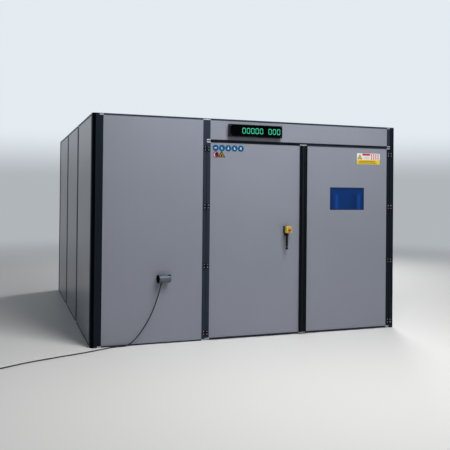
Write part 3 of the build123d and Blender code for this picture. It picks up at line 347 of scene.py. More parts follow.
def opal_lens(name):
    """Opal polycarbonate over a lamp: milky white, giving a soft light of its own when switched on."""
    milk = linear("#eef1f4")
    light = {"Emission_Color": (*milk, 1.0), "Emission_Strength": 0.6}
    return new_finish(name, milk, (40 * MM, 0.02, (0.3, 0.4)), IOR=1.58, **light)


def printed_foil(name, colour):
    """Calendered vinyl foil with a printed field under a matt varnish: flat colour with little sheen
    and a faint grain in the ink about 2 mm wide."""
    return new_finish(name, colour, (2 * MM, 0.03, (0.28, 0.38)), IOR=1.5, Specular_IOR_Level=0.12)


def cable_sheath(name, colour):
    """Rubber sheath of a heavy flexible lead: black, matt and scuffed, with talc in its fine grain."""
    grain = (9 * MM, 0.22, (0.5, 0.68), 0.08 * MM)
    return new_finish(name, colour, grain, IOR=1.52, Specular_IOR_Level=0.3)


def give(node, *materials):
    """Puts these materials on a CAD node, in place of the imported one."""
    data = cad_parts[node].data
    data.materials.clear()
    for material in materials:
        data.materials.append(material)
    for face in data.polygons:
        face.material_index = 0


def give_split(node, main, other, test):
    """Gives a CAD node two finishes. The other one goes on the faces whose centre and normal pass the
    test."""
    give(node, main, other)
    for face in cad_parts[node].data.polygons:
        if test(face.center, face.normal):
            face.material_index = 1


def new_object(name, mesh, *materials):
    """An object in the scene, made from a bmesh that ends here."""
    data = bpy.data.meshes.new(name)
    mesh.to_mesh(data)
    mesh.free()
    for material in materials:
        data.materials.append(material)
    made = bpy.data.objects.new(name, data)
    bpy.context.scene.collection.objects.link(made)
    return made


def new_piece(name, mesh, body, slot, *materials):
    """A piece made from a bmesh. It rides on a body and takes the given materials; its slot is not used."""
    piece = new_object(name, mesh, *materials)
    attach(piece, body)
    return piece


def add_plate(mesh, outline, origin, thickness, index=0):
    """Adds a flat plate on the front: an outline of (across, up) points, standing out by thickness.
    Returns the origin of its front face."""
    front = origin + Vector((0, -thickness, 0))
    lower = [mesh.verts.new(origin + Vector((x, 0, z))) for x, z in outline]
    upper = [mesh.verts.new(front + Vector((x, 0, z))) for x, z in outline]
    faces = [mesh.faces.new(upper), mesh.faces.new(lower[::-1])]
    for start in range(len(outline)):
        end = (start + 1) % len(outline)
        faces.append(mesh.faces.new((lower[start], lower[end], upper[end], upper[start])))
    for face in faces:
        face.material_index = index
    return front


def add_layers(mesh, origin, *layers):
    """Adds plates on each other, from the back, each as its outline, thickness and colour's place.
    Returns the origin of the last one's front face."""
    for outline, thickness, index in layers:
        origin = add_plate(mesh, outline, origin, thickness, index)
    return origin


def add_pierced_plate(mesh, outline, hole, origin, thickness):
    """Adds a flat plate on the front with one hole through it, to a mesh that is still empty."""
    edges = []
    for loop in (outline, hole):
        points = [mesh.verts.new(origin + Vector((x, 0, z))) for x, z in loop]
        edges += [mesh.edges.new((points[index - 1], points[index])) for index in range(len(points))]
    bmesh.ops.triangle_fill(mesh, use_beauty=True, use_dissolve=False, edges=edges)
    front = bmesh.ops.extrude_face_region(mesh, geom=mesh.faces[:])["geom"]
    raised = [part for part in front if isinstance(part, bmesh.types.BMVert)]
    bmesh.ops.translate(mesh, vec=Vector((0, -thickness, 0)), verts=raised)
    bmesh.ops.recalc_face_normals(mesh, faces=mesh.faces[:])


def round_outline(radius, count=40, centre=(0.0, 0.0), start=0.0):
    """Points of a circle, or of a regular form with few corners."""
    steps = [start + 2 * math.pi * index / count for index in range(count)]
    return [(centre[0] + radius * math.cos(t), centre[1] + radius * math.sin(t)) for t in steps]


def triangle_outline(reach):
    """Points of a triangle that stands on one side."""
    return round_outline(reach, 3, start=math.pi / 2)


def slot_outline(width, height, centre=(0.0, 0.0), tilt=0.0):
    """Points of a bar with round ends."""
    radius = min(width, height) / 2
    reach = max(width, height) / 2 - radius
    points = []
    for side in (1, -1):
        for step in range(9):
            angle = math.pi * (step / 8 - 0.5) + (0 if side > 0 else math.pi)
            points.append((side * reach + radius * math.cos(angle), radius * math.sin(angle)))
    if height > width:
        points = [(-z, x) for x, z in points]
    turn = Matrix.Rotation(tilt, 2)
    return [tuple(turn @ Vector(point) + Vector(centre)) for point in points]


def add_lathe(mesh, profile, place, count=24):
    """Adds a turned form: (radius, outwards) points about an axis that points to the front."""
    rings = []
    for radius, reach in profile:
        circle = round_outline(radius, count)
        rings.append([mesh.verts.new(place @ Vector((x, -reach, z))) for x, z in circle])
    for lower, upper in zip(rings, rings[1:]):
        for start in range(count):
            end = (start + 1) % count
            mesh.faces.new((lower[start], lower[end], upper[end], upper[start])).smooth = True
    mesh.faces.new(rings[-1])


def facing_front(point):
    """The place of a piece that stands on a surface facing the front."""
    return Matrix.Translation(point)


def facing_rear(point):
    """The place of a piece that stands on a surface facing into the cell."""
    return Matrix.Translation(point) @ Matrix.Rotation(math.pi, 4, "Z")


def add_screw(mesh, place, radius, height):
    """Adds a button head screw with a hexagon socket."""
    head = [(radius, 0.0), (radius, 0.25 * height), (0.86 * radius, 0.7 * height), (0.6 * radius, height)]
    socket = [(0.5 * radius, height), (0.5 * radius, 0.35 * height)]
    add_lathe(mesh, head + socket, place, 18)


def corner_screws(name, node, body, seat, radius, height, material, facing=facing_front):
    """A piece with a screw in each corner of a CAD node, on a surface at that depth in the cell."""
    low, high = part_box(node)
    inset = CORNER_SCREW_INSET
    mesh = bmesh.new()
    for x in (low.x + inset, high.x - inset):
        for z in (low.z + inset, high.z - inset):
            add_screw(mesh, facing(Vector((x, seat, z))), radius, height)
    new_piece(name, mesh, body, "zinc_steel", material)


def front_faces(node):
    """The flat faces of a CAD node that look to the front, each as its lowest and highest corner."""
    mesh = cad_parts[node].data
    patches = []
    for face in mesh.polygons:
        if face.normal.y > -0.99:
            continue
        patch = {tuple(round(part, 5) for part in mesh.vertices[index].co) for index in face.vertices}
        for touching in [other for other in patches if other & patch]:
            patch |= touching
            patches.remove(touching)
        patches.append(patch)
    return [(Vector(map(min, zip(*patch))), Vector(map(max, zip(*patch)))) for patch in patches]


def lever_hub():
    """The point on the lever's shaft that its hub turns about."""
    low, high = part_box("door_lever")
    knob = LEVER_KNOB_RADIUS
    return Vector(((low.x + high.x) / 2, low.y + knob, low.z + knob + LEVER_LENGTH))


class CELL_OT_stage(bpy.types.Operator):
    """Sets up the camera, the pale floor and the soft studio light"""

    bl_idname = "cell.stage"
    bl_label = "Camera, Floor and Light"

    # The camera as worked out from the edges of the modules, with its angles in radians
    focal_length = 50.137
    sensor_width = 36.0
    camera_place = (-0.7862, -6.1902, 1.5116)
    heading = 0.33588
    rise = 0.00904
    roll = 0.00975
    shift = -0.08073
    furthest = 200.0

    floor_colour = "#f8f7f4"
    floor_radius = 60.0
    floor_corners = 96
    floor_drop = 0.5 * MM
    horizon = "#b0b5ba"
    upper_backdrop = "#e4ebf1"
    # The floor runs over into the horizon between these distances, and the backdrop pales upwards
    # between these parts of the view's height
    floor_fade = {"From Min": 3.5, "From Max": 14.0}
    backdrop_fade = {"From Min": 0.02, "From Max": 0.1}
    fill_colour = "#e4ebf5"
    fill_strength = 0.05
    # Each lamp's name, place, target, side in metres and power in watts
    lamps = (
        ("upper_light", (2.0, -3.0, 5.0), (1.8, 0.0, 1.2), 2.5, 235.0),
        ("ceiling_light", (2.0, 1.0, 7.5), (1.8, 0.5, 0.0), 6.0, 40.0),
        ("rear_light", (6.0, 7.0, 5.0), (2.2, 2.5, 0.8), 2.5, 260.0),
    )

    def execute(self, context):
        self.add_camera(context.scene)
        self.add_floor()
        self.add_world(context.scene)
        for lamp in self.lamps:
            self.add_lamp(context.scene, *lamp)
        return {"FINISHED"}

    def add_camera(self, scene):
        data = bpy.data.cameras.new("camera")
        data.lens = self.focal_length
        data.sensor_width = self.sensor_width
        data.shift_y = self.shift
        data.clip_end = self.furthest
        level = Matrix.Rotation(-self.heading, 4, "Z") @ Matrix.Rotation(math.pi / 2 + self.rise, 4, "X")
        turn = level @ Matrix.Rotation(self.roll, 4, "Z")
        camera = bpy.data.objects.new("camera", data)
        camera.matrix_world = Matrix.Translation(on_front(*self.camera_place)) @ turn
        scene.collection.objects.link(camera)
        scene.camera = camera

    def shown_rays(self, tree):
        """One for the rays that see the pale backdrop: from the camera, by reflection and through glass."""
        path = add_node(tree, "ShaderNodeLightPath").outputs
        rays = {0: path["Is Camera Ray"], 1: path["Is Transmission Ray"]}
        direct = add_node(tree, "ShaderNodeMath", links=rays, operation="MAXIMUM")
        rays = {0: direct.outputs["Value"], 1: path["Is Glossy Ray"]}
        return add_node(tree, "ShaderNodeMath", links=rays, operation="MAXIMUM").outputs["Value"]

    def add_floor(self):
        material, tree, shader = new_surface("floor_screed", self.floor_colour, Roughness=0.6)
        spot = {0: tree.nodes["place"].outputs["Object"]}
        distance = add_node(tree, "ShaderNodeVectorMath", links=spot, operation="LENGTH")
        away = {"Value": distance.outputs["Value"]}
        fade = add_node(tree, "ShaderNodeMapRange", self.floor_fade, away, interpolation_type="SMOOTHSTEP")
        colour = {"Color": (*linear(self.horizon), 1.0), "Strength": 1.0}
        backdrop = add_node(tree, "ShaderNodeEmission", colour)
        parts = {0: fade.outputs["Result"], 1: self.shown_rays(tree)}
        seen = add_node(tree, "ShaderNodeMath", links=parts, operation="MULTIPLY")
        parts = {"Fac": seen.outputs["Value"], 1: shader.outputs["BSDF"], 2: backdrop.outputs["Emission"]}
        blend = add_node(tree, "ShaderNodeMixShader", links=parts)
        tree.links.new(blend.outputs["Shader"], tree.nodes["Material Output"].inputs["Surface"])
        mesh = bmesh.new()
        reach, corners = self.floor_radius, self.floor_corners
        bmesh.ops.create_circle(mesh, cap_ends=True, radius=reach, segments=corners)
        floor = new_object("floor", mesh, material)
        floor.location.z = -self.floor_drop

    def add_world(self, scene):
        world = bpy.data.worlds.new("studio")
        world.use_nodes = True
        tree = world.node_tree
        tree.nodes.clear()
        colour = {"Color": (*linear(self.fill_colour), 1.0), "Strength": self.fill_strength}
        fill = add_node(tree, "ShaderNodeBackground", colour)
        view = {"Vector": add_node(tree, "ShaderNodeTexCoord").outputs["Generated"]}
        height = {"Value": add_node(tree, "ShaderNodeSeparateXYZ", links=view).outputs["Z"]}
        climb = add_node(
            tree, "ShaderNodeMapRange", self.backdrop_fade, height, interpolation_type="SMOOTHSTEP"
        )
        tones = {"A": (*linear(self.horizon), 1.0), "B": (*linear(self.upper_backdrop), 1.0)}
        share = {"Factor": climb.outputs["Result"]}
        paling = add_node(tree, "ShaderNodeMix", tones, share, data_type="RGBA")
        pale = {"Color": paling.outputs["Result"]}
        backdrop = add_node(tree, "ShaderNodeBackground", {"Strength": 1.0}, pale)
        parts = {1: fill.outputs["Background"], 2: backdrop.outputs["Background"]}
        blend = add_node(tree, "ShaderNodeMixShader", links={"Fac": self.shown_rays(tree), **parts})
        add_node(tree, "ShaderNodeOutputWorld", links={"Surface": blend.outputs["Shader"]})
        scene.world = world
        scene.view_settings.view_transform = "Standard"

    def add_lamp(self, scene, name, place, target, side, power):
        data = bpy.data.lights.new(name, "AREA")
        data.shape = "SQUARE"
        data.size = side
        data.energy = power
        lamp = bpy.data.objects.new(name, data)
        lamp.location = on_front(*place)
        aim = on_front(*target) - on_front(*place)
        lamp.rotation_euler = aim.to_track_quat("-Z", "Y").to_euler()
        scene.collection.objects.link(lamp)


class CELL_OT_supply_lead(bpy.types.Operator):
    """Lays the supply lead from its gland over the floor, with its spare length in a coil"""

    bl_idname = "cell.supply_lead"
    bl_label = "Supply Lead"

    # Exit and route along the front wall, inwards from its outer face, and up
    route = [
        (0.68547, -0.04953, 0.58945),
        (0.672, -0.053, 0.531),
        (0.648, -0.054, 0.456),
        (0.619, -0.052, 0.372),
        (0.582, -0.048, 0.287),
        (0.534, -0.043, 0.199),
        (0.478, -0.037, 0.118),
        (0.419, -0.031, 0.050),
        (0.354, -0.027, 0.0055),
        (0.263, -0.025, 0.0055),
        (0.173, -0.052, 0.0055),
        (0.080, -0.100, 0.0055),
        (-0.024, -0.149, 0.0055),
        (-0.142, -0.196, 0.0055),
        (-0.268, -0.240, 0.0055),
        (-0.397, -0.291, 0.0055),
        (-0.524, -0.338, 0.0055),
        (-0.640, -0.393, 0.0055),
        (-0.740, -0.455, 0.0055),
        (-0.830, -0.506, 0.0055),
        (-0.912, -0.556, 0.0055),
    ]
    coil_middle_radius = 65 * MM
    turns_per_layer = 3.5
    # The step from the lower layer to the upper one takes this part of a turn
    climb = 0.25
    tail = 62 * MM
    # The tail is lifted by this many diameters half-way to the plug
    tail_lift = 1.2
    plug_body = 76.2 * MM
    lead_length = 4.99

    def coil_points(self, start, heading, diameter, count):
        """The turns: inwards on the floor, a step up at the inside, and outwards on top."""
        spread = diameter * self.turns_per_layer / 2
        outer = self.coil_middle_radius + spread
        inner = self.coil_middle_radius - spread
        side = Vector((heading.y, -heading.x, 0))
        centre = start + side * outer
        first = math.atan2(-side.y, -side.x)
        # The spline runs inside its control points by this share
        pull = 0.75 + 0.25 * math.cos(2 * math.pi / count)
        points = []
        for step in range(1, int(2 * self.turns_per_layer * count) + 1):
            turn = step / count
            above = turn - self.turns_per_layer
            if above <= 0:
                radius = outer - diameter * turn
                height = start.z
            elif above <= self.climb:
                radius = inner
                height = start.z + diameter * above / self.climb
            else:
                share = (above - self.climb) / (self.turns_per_layer - self.climb)
                radius = inner + (outer - inner) * share
                height = start.z + diameter
            angle = first - 2 * math.pi * turn
            reach = radius / pull
            spot = (centre.x + reach * math.cos(angle), centre.y + reach * math.sin(angle), height)
            points.append(Vector(spot))
        return points

    def execute(self, context):
        colours, sizes = context.scene.cell_colours, context.scene.cell_sizes
        diameter = sizes.lead_diameter
        points = [on_front(*point) for point in self.route]
        heading = (points[-1] - points[-2]).normalized()
        end = points[-1]
        points += self.coil_points(end, heading, diameter, sizes.turn_points)
        plug_low, plug_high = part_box("cable_plug")
        plug_axis = (plug_low.z + plug_high.z) / 2
        lifted = end.z + self.tail_lift * diameter
        points.append(Vector((*(end + heading * self.tail * 0.5).xy, lifted)))
        points.append(Vector((*(end + heading * self.tail).xy, plug_axis)))
        data = bpy.data.curves.new("supply_lead", "CURVE")
        data.dimensions = "3D"
        data.bevel_depth = diameter / 2
        data.bevel_resolution = 4
        data.resolution_u = 6
        data.use_fill_caps = True
        spline = data.splines.new("NURBS")
        spline.points.add(len(points) - 1)
        for control, point in zip(spline.points, points):
            control.co = (*point, 1.0)
        spline.order_u = 3
        spline.use_endpoint_u = True
        data.materials.append(cable_sheath("rubber_lead_sheath", colours.sheath))
        lead = bpy.data.objects.new("supply_lead", data)
        context.scene.collection.objects.link(lead)
        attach(lead, "enclosure")
        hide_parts("cable", "cable_coil")
        # The plug is moulded rubber with two plated pins
        pins = (Vector((*end.xy, 0)) + heading * (self.tail + self.plug_body)).dot(heading)
        rubber, plating = extruded_rubber("moulded_plug_rubber"), plated_steel("plated_pins")
        give_split("cable_plug", rubber, plating, lambda spot, normal: spot.dot(heading) > pins)
        return {"FINISHED"}


class CELL_OT_frame_finishes(bpy.types.Operator):
    """Gives posts, edge extrusions, rails and end blocks their finishes"""

    bl_idname = "cell.frame_finishes"
    bl_label = "Posts and Frames"

    # Profiles this near to a post or to the gap over the left leaf are given a darker finish, painted shade
    # as dark as their neighbour
    frame_width = 60 * MM

    def execute(self, context):
        colours = context.scene.cell_colours
        black = anodised_extrusion("black_anodised_post", "#030405", "Z", 0.03)
        upright = anodised_extrusion("dark_anodised_upright", colours.extrusion, "Z")
        rail = anodised_extrusion("dark_anodised_rail", colours.extrusion, "X")
        side_rail = anodised_extrusion("dark_anodised_side_rail", colours.extrusion, "Y")
        # A darker copy of the uprights' anodising: painted shade on the uprights beside the left post and
        # on the right hinge stile.
        # The black posts' front flats take it too, lighter than their rounded edges: painted light on the
        # faces that look to the front.
        flat = anodised_extrusion("dark_anodised_flat", "#12161d", "Z")
        # Black copy of the rails' anodising, painted shade beside the gap over the left leaf
        gap_shade_rail = anodised_extrusion("black_anodised_rail", colours.meeting, "X")
        block = sawn_aluminium("sawn_aluminium_block")
        finishes = {
            black: ("corner_post_rear_left", "corner_post_rear_right"),
            upright: ("side_uprights", "rear_uprights", "door_left_hinge_stile"),
            # The right hinge stile takes the darker copy: painted shade
            flat: ("door_right_hinge_stile",),
            rail: ("rear_rails", "door_right_rails", "door_stops"),
            side_rail: ("side_rails",),
            block: ("end_blocks", "door_left_end_blocks", "door_right_end_blocks"),
        }
        for finish, nodes in finishes.items():
            for node in nodes:
                give(node, finish)
        # Each meeting stile gets its painted highlight at this share of its width
        for node, highlight_share in (("door_left_meeting_stile", 0.62), ("door_right_meeting_stile", 0.38)):
            give(node, painted_rib_highlight_extrusion("ribbed_" + node, colours.meeting, node, highlight_share))
        # Front flats lighter than the black rounding: painted light on the faces that look to the front
        for node in ("corner_post_front_left", "corner_post_front_right"):
            give_split(node, black, flat, lambda spot, normal: normal.y < -0.99)
        # The uprights beside the left post take the darker copy: painted shade
        beside_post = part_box("corner_post_front_left")[1].x + self.frame_width
        give_split("front_uprights", upright, flat, lambda spot, normal: spot.x < beside_post)
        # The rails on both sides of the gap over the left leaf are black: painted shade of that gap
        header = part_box("header_sheet")[0]

        def under_header(spot, normal):
            return spot.x > header.x and abs(spot.z - header.z) < self.frame_width

        give_split("front_rails", rail, gap_shade_rail, under_header)
        lowest = header.z - self.frame_width
        give_split("door_left_rails", rail, gap_shade_rail, lambda spot, normal: spot.z > lowest)
        return {"FINISHED"}


class CELL_OT_block_plugs(bpy.types.Operator):
    """Closes the bolt holes in the fronts of the end blocks with dark plugs; those at the hinges
    beside the gap under the header are black, painted shade of that gap
    """

    bl_idname = "cell.block_plugs"
    bl_label = "Plugs in the End Blocks"

    # Width, height and shift upwards, as shares of the block, of a plug in the open, under the roof
    # and beside the gap between header and door. The one beside the gap is black: painted shade of that
    # gap.
    plain_plug = (0.62, 0.4, 0.0)
    roof_plug = (0.96, 0.62, 0.19)
    gap_shade_plug = (0.96, 0.34, 0.33)
    rise = 0.4 * MM
    near = 60 * MM
    least_width = 20 * MM
    # The middle of the gap between header and door lies this far under the edge of the header sheet
    gap_drop = 9 * MM

    def plug(self, low, high, header_low, header_high):
        """A plug's middle, width and height, and its colour's place. Beside the gap, at the hinges, it
        is black, painted shade of the gap, and lies towards the gap. Under the roof it lies towards the
        roof."""
        middle = (low + high) / 2
        size = high - low
        width, height, shift = self.plain_plug
        index = 0
        at_hinges = min(abs(middle.x - header_low.x), abs(middle.x - header_high.x)) < self.near
        if abs(middle.z - header_high.z) < self.near:
            width, height, shift = self.roof_plug
        elif at_hinges and abs(middle.z - header_low.z) < self.near:
            width, height, shift = self.gap_shade_plug
            shift *= 1 if middle.z < header_low.z - self.gap_drop else -1
            index = 1
        return middle + Vector((0, 0, shift * size.z)), width * size.x, height * size.z, index

    def execute(self, context):
        grey = moulded_plastic("grey_moulded_plug", "#5d626b")
        # Black plugs beside the gap under the header are painted shade
        black = moulded_plastic("black_moulded_plug", "#0c0e12")
        bodies = {"end_blocks": "enclosure", "door_left_end_blocks": "door_left"}
        bodies["door_right_end_blocks"] = "door_right"
        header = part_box("header_sheet")
        for node, body in bodies.items():
            mesh = bmesh.new()
            for low, high in front_faces(node):
                if low.y < front_corner.y + 1 * MM and high.x - low.x > self.least_width:
                    middle, width, height, index = self.plug(low, high, *header)
                    add_plate(mesh, slot_outline(width, height), middle, self.rise, index)
            new_piece(node + "_plugs", mesh, body, "black_plastic", grey, black)
        return {"FINISHED"}


class CELL_OT_sheet_finishes(bpy.types.Operator):
    """Gives the wall sheets, door sheets and roof their powder coat"""

    bl_idname = "cell.sheet_finishes"
    bl_label = "Sheets"

    def execute(self, context):
        colours = context.scene.cell_colours
        coat = powder_coated_steel("satin_powder_coated_sheet", colours.sheet)
        walls = ("front_wall_sheet", "header_sheet", "left_wall_sheets", "right_wall_sheets")
        for node in walls + ("rear_wall_sheets", "door_left_sheet", "door_right_sheet"):
            give(node, coat)
        give("roof_sheets", powder_coated_steel("powder_coated_roof", colours.sheet))
        give("roof_beams", powder_coated_steel("powder_coated_beam", "#2b2e34"))
        housing = powder_coated_steel("white_lamp_housing", "#dfe1e3")
        lens = opal_lens("opal_lamp_lens")
        give_split("work_lights", housing, lens, lambda spot, normal: normal.z < -0.9)
        return {"FINISHED"}


class CELL_OT_hinges(bpy.types.Operator):
    """Gives the hinges their black coat and sets their screws"""

    bl_idname = "cell.hinges"
    bl_label = "Hinges and Screws"

    # The pin's axis lies this far inside the leaves' box, and the screws this far from the axis
    pin_inset = 5.5 * MM
    leaf_middle = 18 * MM
    row_reach = 15 * MM
    # A hinge reaches this far from its middle, and its plate stands this far before the front wall
    hinge_reach = 29 * MM
    plate_rise = 5 * MM
    # The places of the hinges' middles, as shares of the way from the lowest to the highest
    shares = (0.0, 0.363, 0.685, 1.0)

    def execute(self, context):
        sizes = context.scene.cell_sizes
        coat = black_coated_metal("black_coated_hinge", "#070a12")
        steel = plated_steel("bright_screw_head", "#b4bac4")
        for node in ("wall_hinge_leaves", "door_left_hinge_leaves", "door_right_hinge_leaves"):
            give(node, coat)
        low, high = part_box("door_left_hinge_leaves")
        bottom, top = low.z + self.hinge_reach, high.z - self.hinge_reach
        heights = [bottom + share * (top - bottom) for share in self.shares]
        left = low.x + self.pin_inset
        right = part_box("door_right_hinge_leaves")[1].x - self.pin_inset
        middle = self.leaf_middle
        columns = {
            ("wall_hinge_screws", "enclosure"): (left - middle, right + middle),
            ("left_leaf_screws", "door_left"): (left + middle,),
            ("right_leaf_screws", "door_right"): (right - middle,),
        }
        for (name, body), places in columns.items():
            mesh = bmesh.new()
            for x in places:
                for height in heights:
                    for row in (-self.row_reach, self.row_reach):
                        spot = Vector((x, front_corner.y - self.plate_rise, height + row))
                        add_screw(mesh, facing_front(spot), sizes.screw_radius, sizes.screw_height)
            new_piece(name, mesh, body, "zinc_steel", steel)
        return {"FINISHED"}


class CELL_OT_seals(bpy.types.Operator):
    """Gives the leaves their rubber lips and floor brushes"""

    bl_idname = "cell.seals"
    bl_label = "Seals and Brushes"

    def execute(self, context):
        rubber = extruded_rubber("extruded_door_lip")
        brush = bristle_brush("nylon_floor_brush")
        rail_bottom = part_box("door_left_rails")[0].z + 1 * MM
        for node in ("door_left_seals", "door_right_seals"):
            give_split(node, rubber, brush, lambda spot, normal: spot.z < rail_bottom)
        return {"FINISHED"}


class CELL_OT_window(bpy.types.Operator):
    """Gives the window its blue filter pane and its gasket"""

    bl_idname = "cell.window"
    bl_label = "Window"

    def execute(self, context):
        colours = context.scene.cell_colours
        give("window_pane", filter_polycarbonate("laser_filter_polycarbonate", colours.pane))
        give("window_gasket", extruded_rubber("extruded_window_gasket", "#0b1f45"))
        return {"FINISHED"}


class CELL_OT_display(bpy.types.Operator):
    """Gives the display its housing and face, and lights its plain digits"""

    bl_idname = "cell.display"
    bl_label = "Display"

    groups = (5, 3)
    first_digit = 130 * MM
    lit_height = 0.2 * MM
    # A segment fills this share of its place in the digit
    segment_share = 0.94

    def add_segment(self, mesh, origin, length, stroke, upright):
        """A lit bar with pointed ends, as long as its outline and lying flat on the face."""
        half = length / 2
        reach = stroke / 2
        lower = [(-half, 0), (-half + reach, -reach), (half - reach, -reach)]
        outline = lower + [(half, 0), (half - reach, reach), (-half + reach, reach)]
        if upright:
            outline = [(-z, x) for x, z in outline]
        add_plate(mesh, outline, origin, self.lit_height)

    def add_digit(self, mesh, centre, sizes):
        """The six lit segments round a digit."""
        stroke = sizes.digit_stroke
        across = sizes.digit_width - stroke
        up = (sizes.digit_height - stroke) / 2
        for side in (-1, 1):
            spot = centre + Vector((0, 0, side * up))
            self.add_segment(mesh, spot, across * self.segment_share, stroke, False)
            for half in (-1, 1):
                spot = centre + Vector((side * across / 2, 0, half * up / 2))
                self.add_segment(mesh, spot, up * self.segment_share, stroke, True)

    def execute(self, context):
        colours, sizes = context.scene.cell_colours, context.scene.cell_sizes
        give("sign_housing", black_coated_metal("black_coated_display_housing", "#08090b"))
        give("sign_face", smoked_acrylic("smoked_acrylic_face"))
        low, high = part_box("sign_face")
        middle = (low.z + high.z) / 2
        mesh = bmesh.new()
        place = 0.5
        for count in self.groups:
            for digit in range(count):
                along = low.x + self.first_digit + (place + digit) * sizes.digit_pitch
                self.add_digit(mesh, Vector((along, low.y, middle)), sizes)
            place += count + 1
        light = lit_diode("green_diode_light", colours.display)
        new_piece("display_digits", mesh, "enclosure", "sign_face", light)
        steel = plated_steel("small_bright_screw")
        seat = low.y + 0.1 * MM
        corner_screws("display_screws", "sign_face", "enclosure", seat, 2.2 * MM, 0.35 * MM, steel)
        return {"FINISHED"}


class CELL_OT_sign_discs(bpy.types.Operator):
    """Puts the round and three-cornered colour fields on the left leaf"""

    bl_idname = "cell.sign_discs"
    bl_label = "Colour Discs"

    # The first disc's middle lies this far inside the leaf's edges
    first_inset = 94.5 * MM
    first_drop = 69 * MM
    row_drop = 70 * MM
    ring_shift = 2 * MM
    triangle_place = (66 * MM, -74 * MM)
    white_reach = 0.15 * MM
    # A white shape's unit of length, as a share of its disc's radius
    shape_share = 0.7

    def white_shapes(self, radius):
        """Plain white shapes, one list for each disc."""
        r = self.shape_share * radius
        boot = [(-0.3, 0.55), (0.1, 0.55), (0.1, -0.1), (0.55, -0.25), (0.55, -0.5), (-0.3, -0.5)]
        coat = [(-0.38, -0.5), (0.38, -0.5), (0.3, 0.2), (0.12, 0.3), (-0.12, 0.3), (-0.3, 0.2)]
        shield = [(-0.4, 0.45), (0.4, 0.45), (0.34, -0.25), (0.0, -0.55), (-0.34, -0.25)]
        boot, coat, shield = ([(x * r, z * r) for x, z in shape] for shape in (boot, coat, shield))
        dot = round_outline(0.3 * r, 24, (-0.12 * r, 0.12 * r))
        return [
            [slot_outline(1.15 * r, 0.5 * r)],
            [dot, slot_outline(0.8 * r, 0.3 * r, (0, -0.4 * r))],
            [coat, round_outline(0.2 * r, 20, (0, 0.5 * r))],
            [boot],
            [shield, slot_outline(0.22 * r, 0.5 * r, (0.0, 0.55 * r))],
        ]

    def execute(self, context):
        sizes = context.scene.cell_sizes
        radius, foil, reach = sizes.disc_radius, sizes.sticker, self.white_reach
        leaf_low, leaf_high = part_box("door_left_end_blocks")
        sheet_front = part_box("door_left_sheet")[0].y
        start = Vector((leaf_low.x + self.first_inset, sheet_front, leaf_high.z - self.first_drop))
        blue = printed_foil("blue_foil", "#06507d")
        white = printed_foil("white_foil", "#c3ccd4")
        red = printed_foil("red_foil", "#963040")
        yellow = printed_foil("yellow_foil", "#b5931a")
        black = printed_foil("black_foil", "#16171a")
        disc = (round_outline(radius, 48), foil, 0)

        discs = bmesh.new()
        for index, shapes in enumerate(self.white_shapes(radius)):
            face = add_layers(discs, start + Vector((index * sizes.disc_pitch, 0, 0)), disc)
            for shape in shapes:
                add_plate(discs, shape, face, reach, 1)
        new_piece("blue_discs", discs, "door_left", "wall_sheet", blue, white)

        # The ring's bar lies over a dark shape on its white middle
        ring = bmesh.new()
        centre = start + Vector((self.ring_shift, 0, -self.row_drop))
        face = add_layers(ring, centre, disc, (round_outline(0.7 * radius, 40), reach, 1))
        shape = slot_outline(1.05 * radius, 1.36 * radius, (0.2 * radius, 0))
        add_plate(ring, shape, face, reach, 2)
        bar = slot_outline(1.6 * radius, 0.14 * radius, (0, 0), -0.8)
        add_plate(ring, bar, face, 2 * reach, 0)
        new_piece("ring_disc", ring, "door_left", "wall_sheet", red, white, black)

        corner = bmesh.new()
        along, up = self.triangle_place
        edge = (triangle_outline(1.38 * radius), foil, 0)
        middle = (triangle_outline(0.84 * radius), reach, 1)
        spot = (round_outline(0.32 * radius, 20, (0, -0.03 * radius)), reach, 0)
        add_layers(corner, start + Vector((along, 0, up)), edge, middle, spot)
        new_piece("three_cornered_field", corner, "door_left", "wall_sheet", black, yellow)
        return {"FINISHED"}


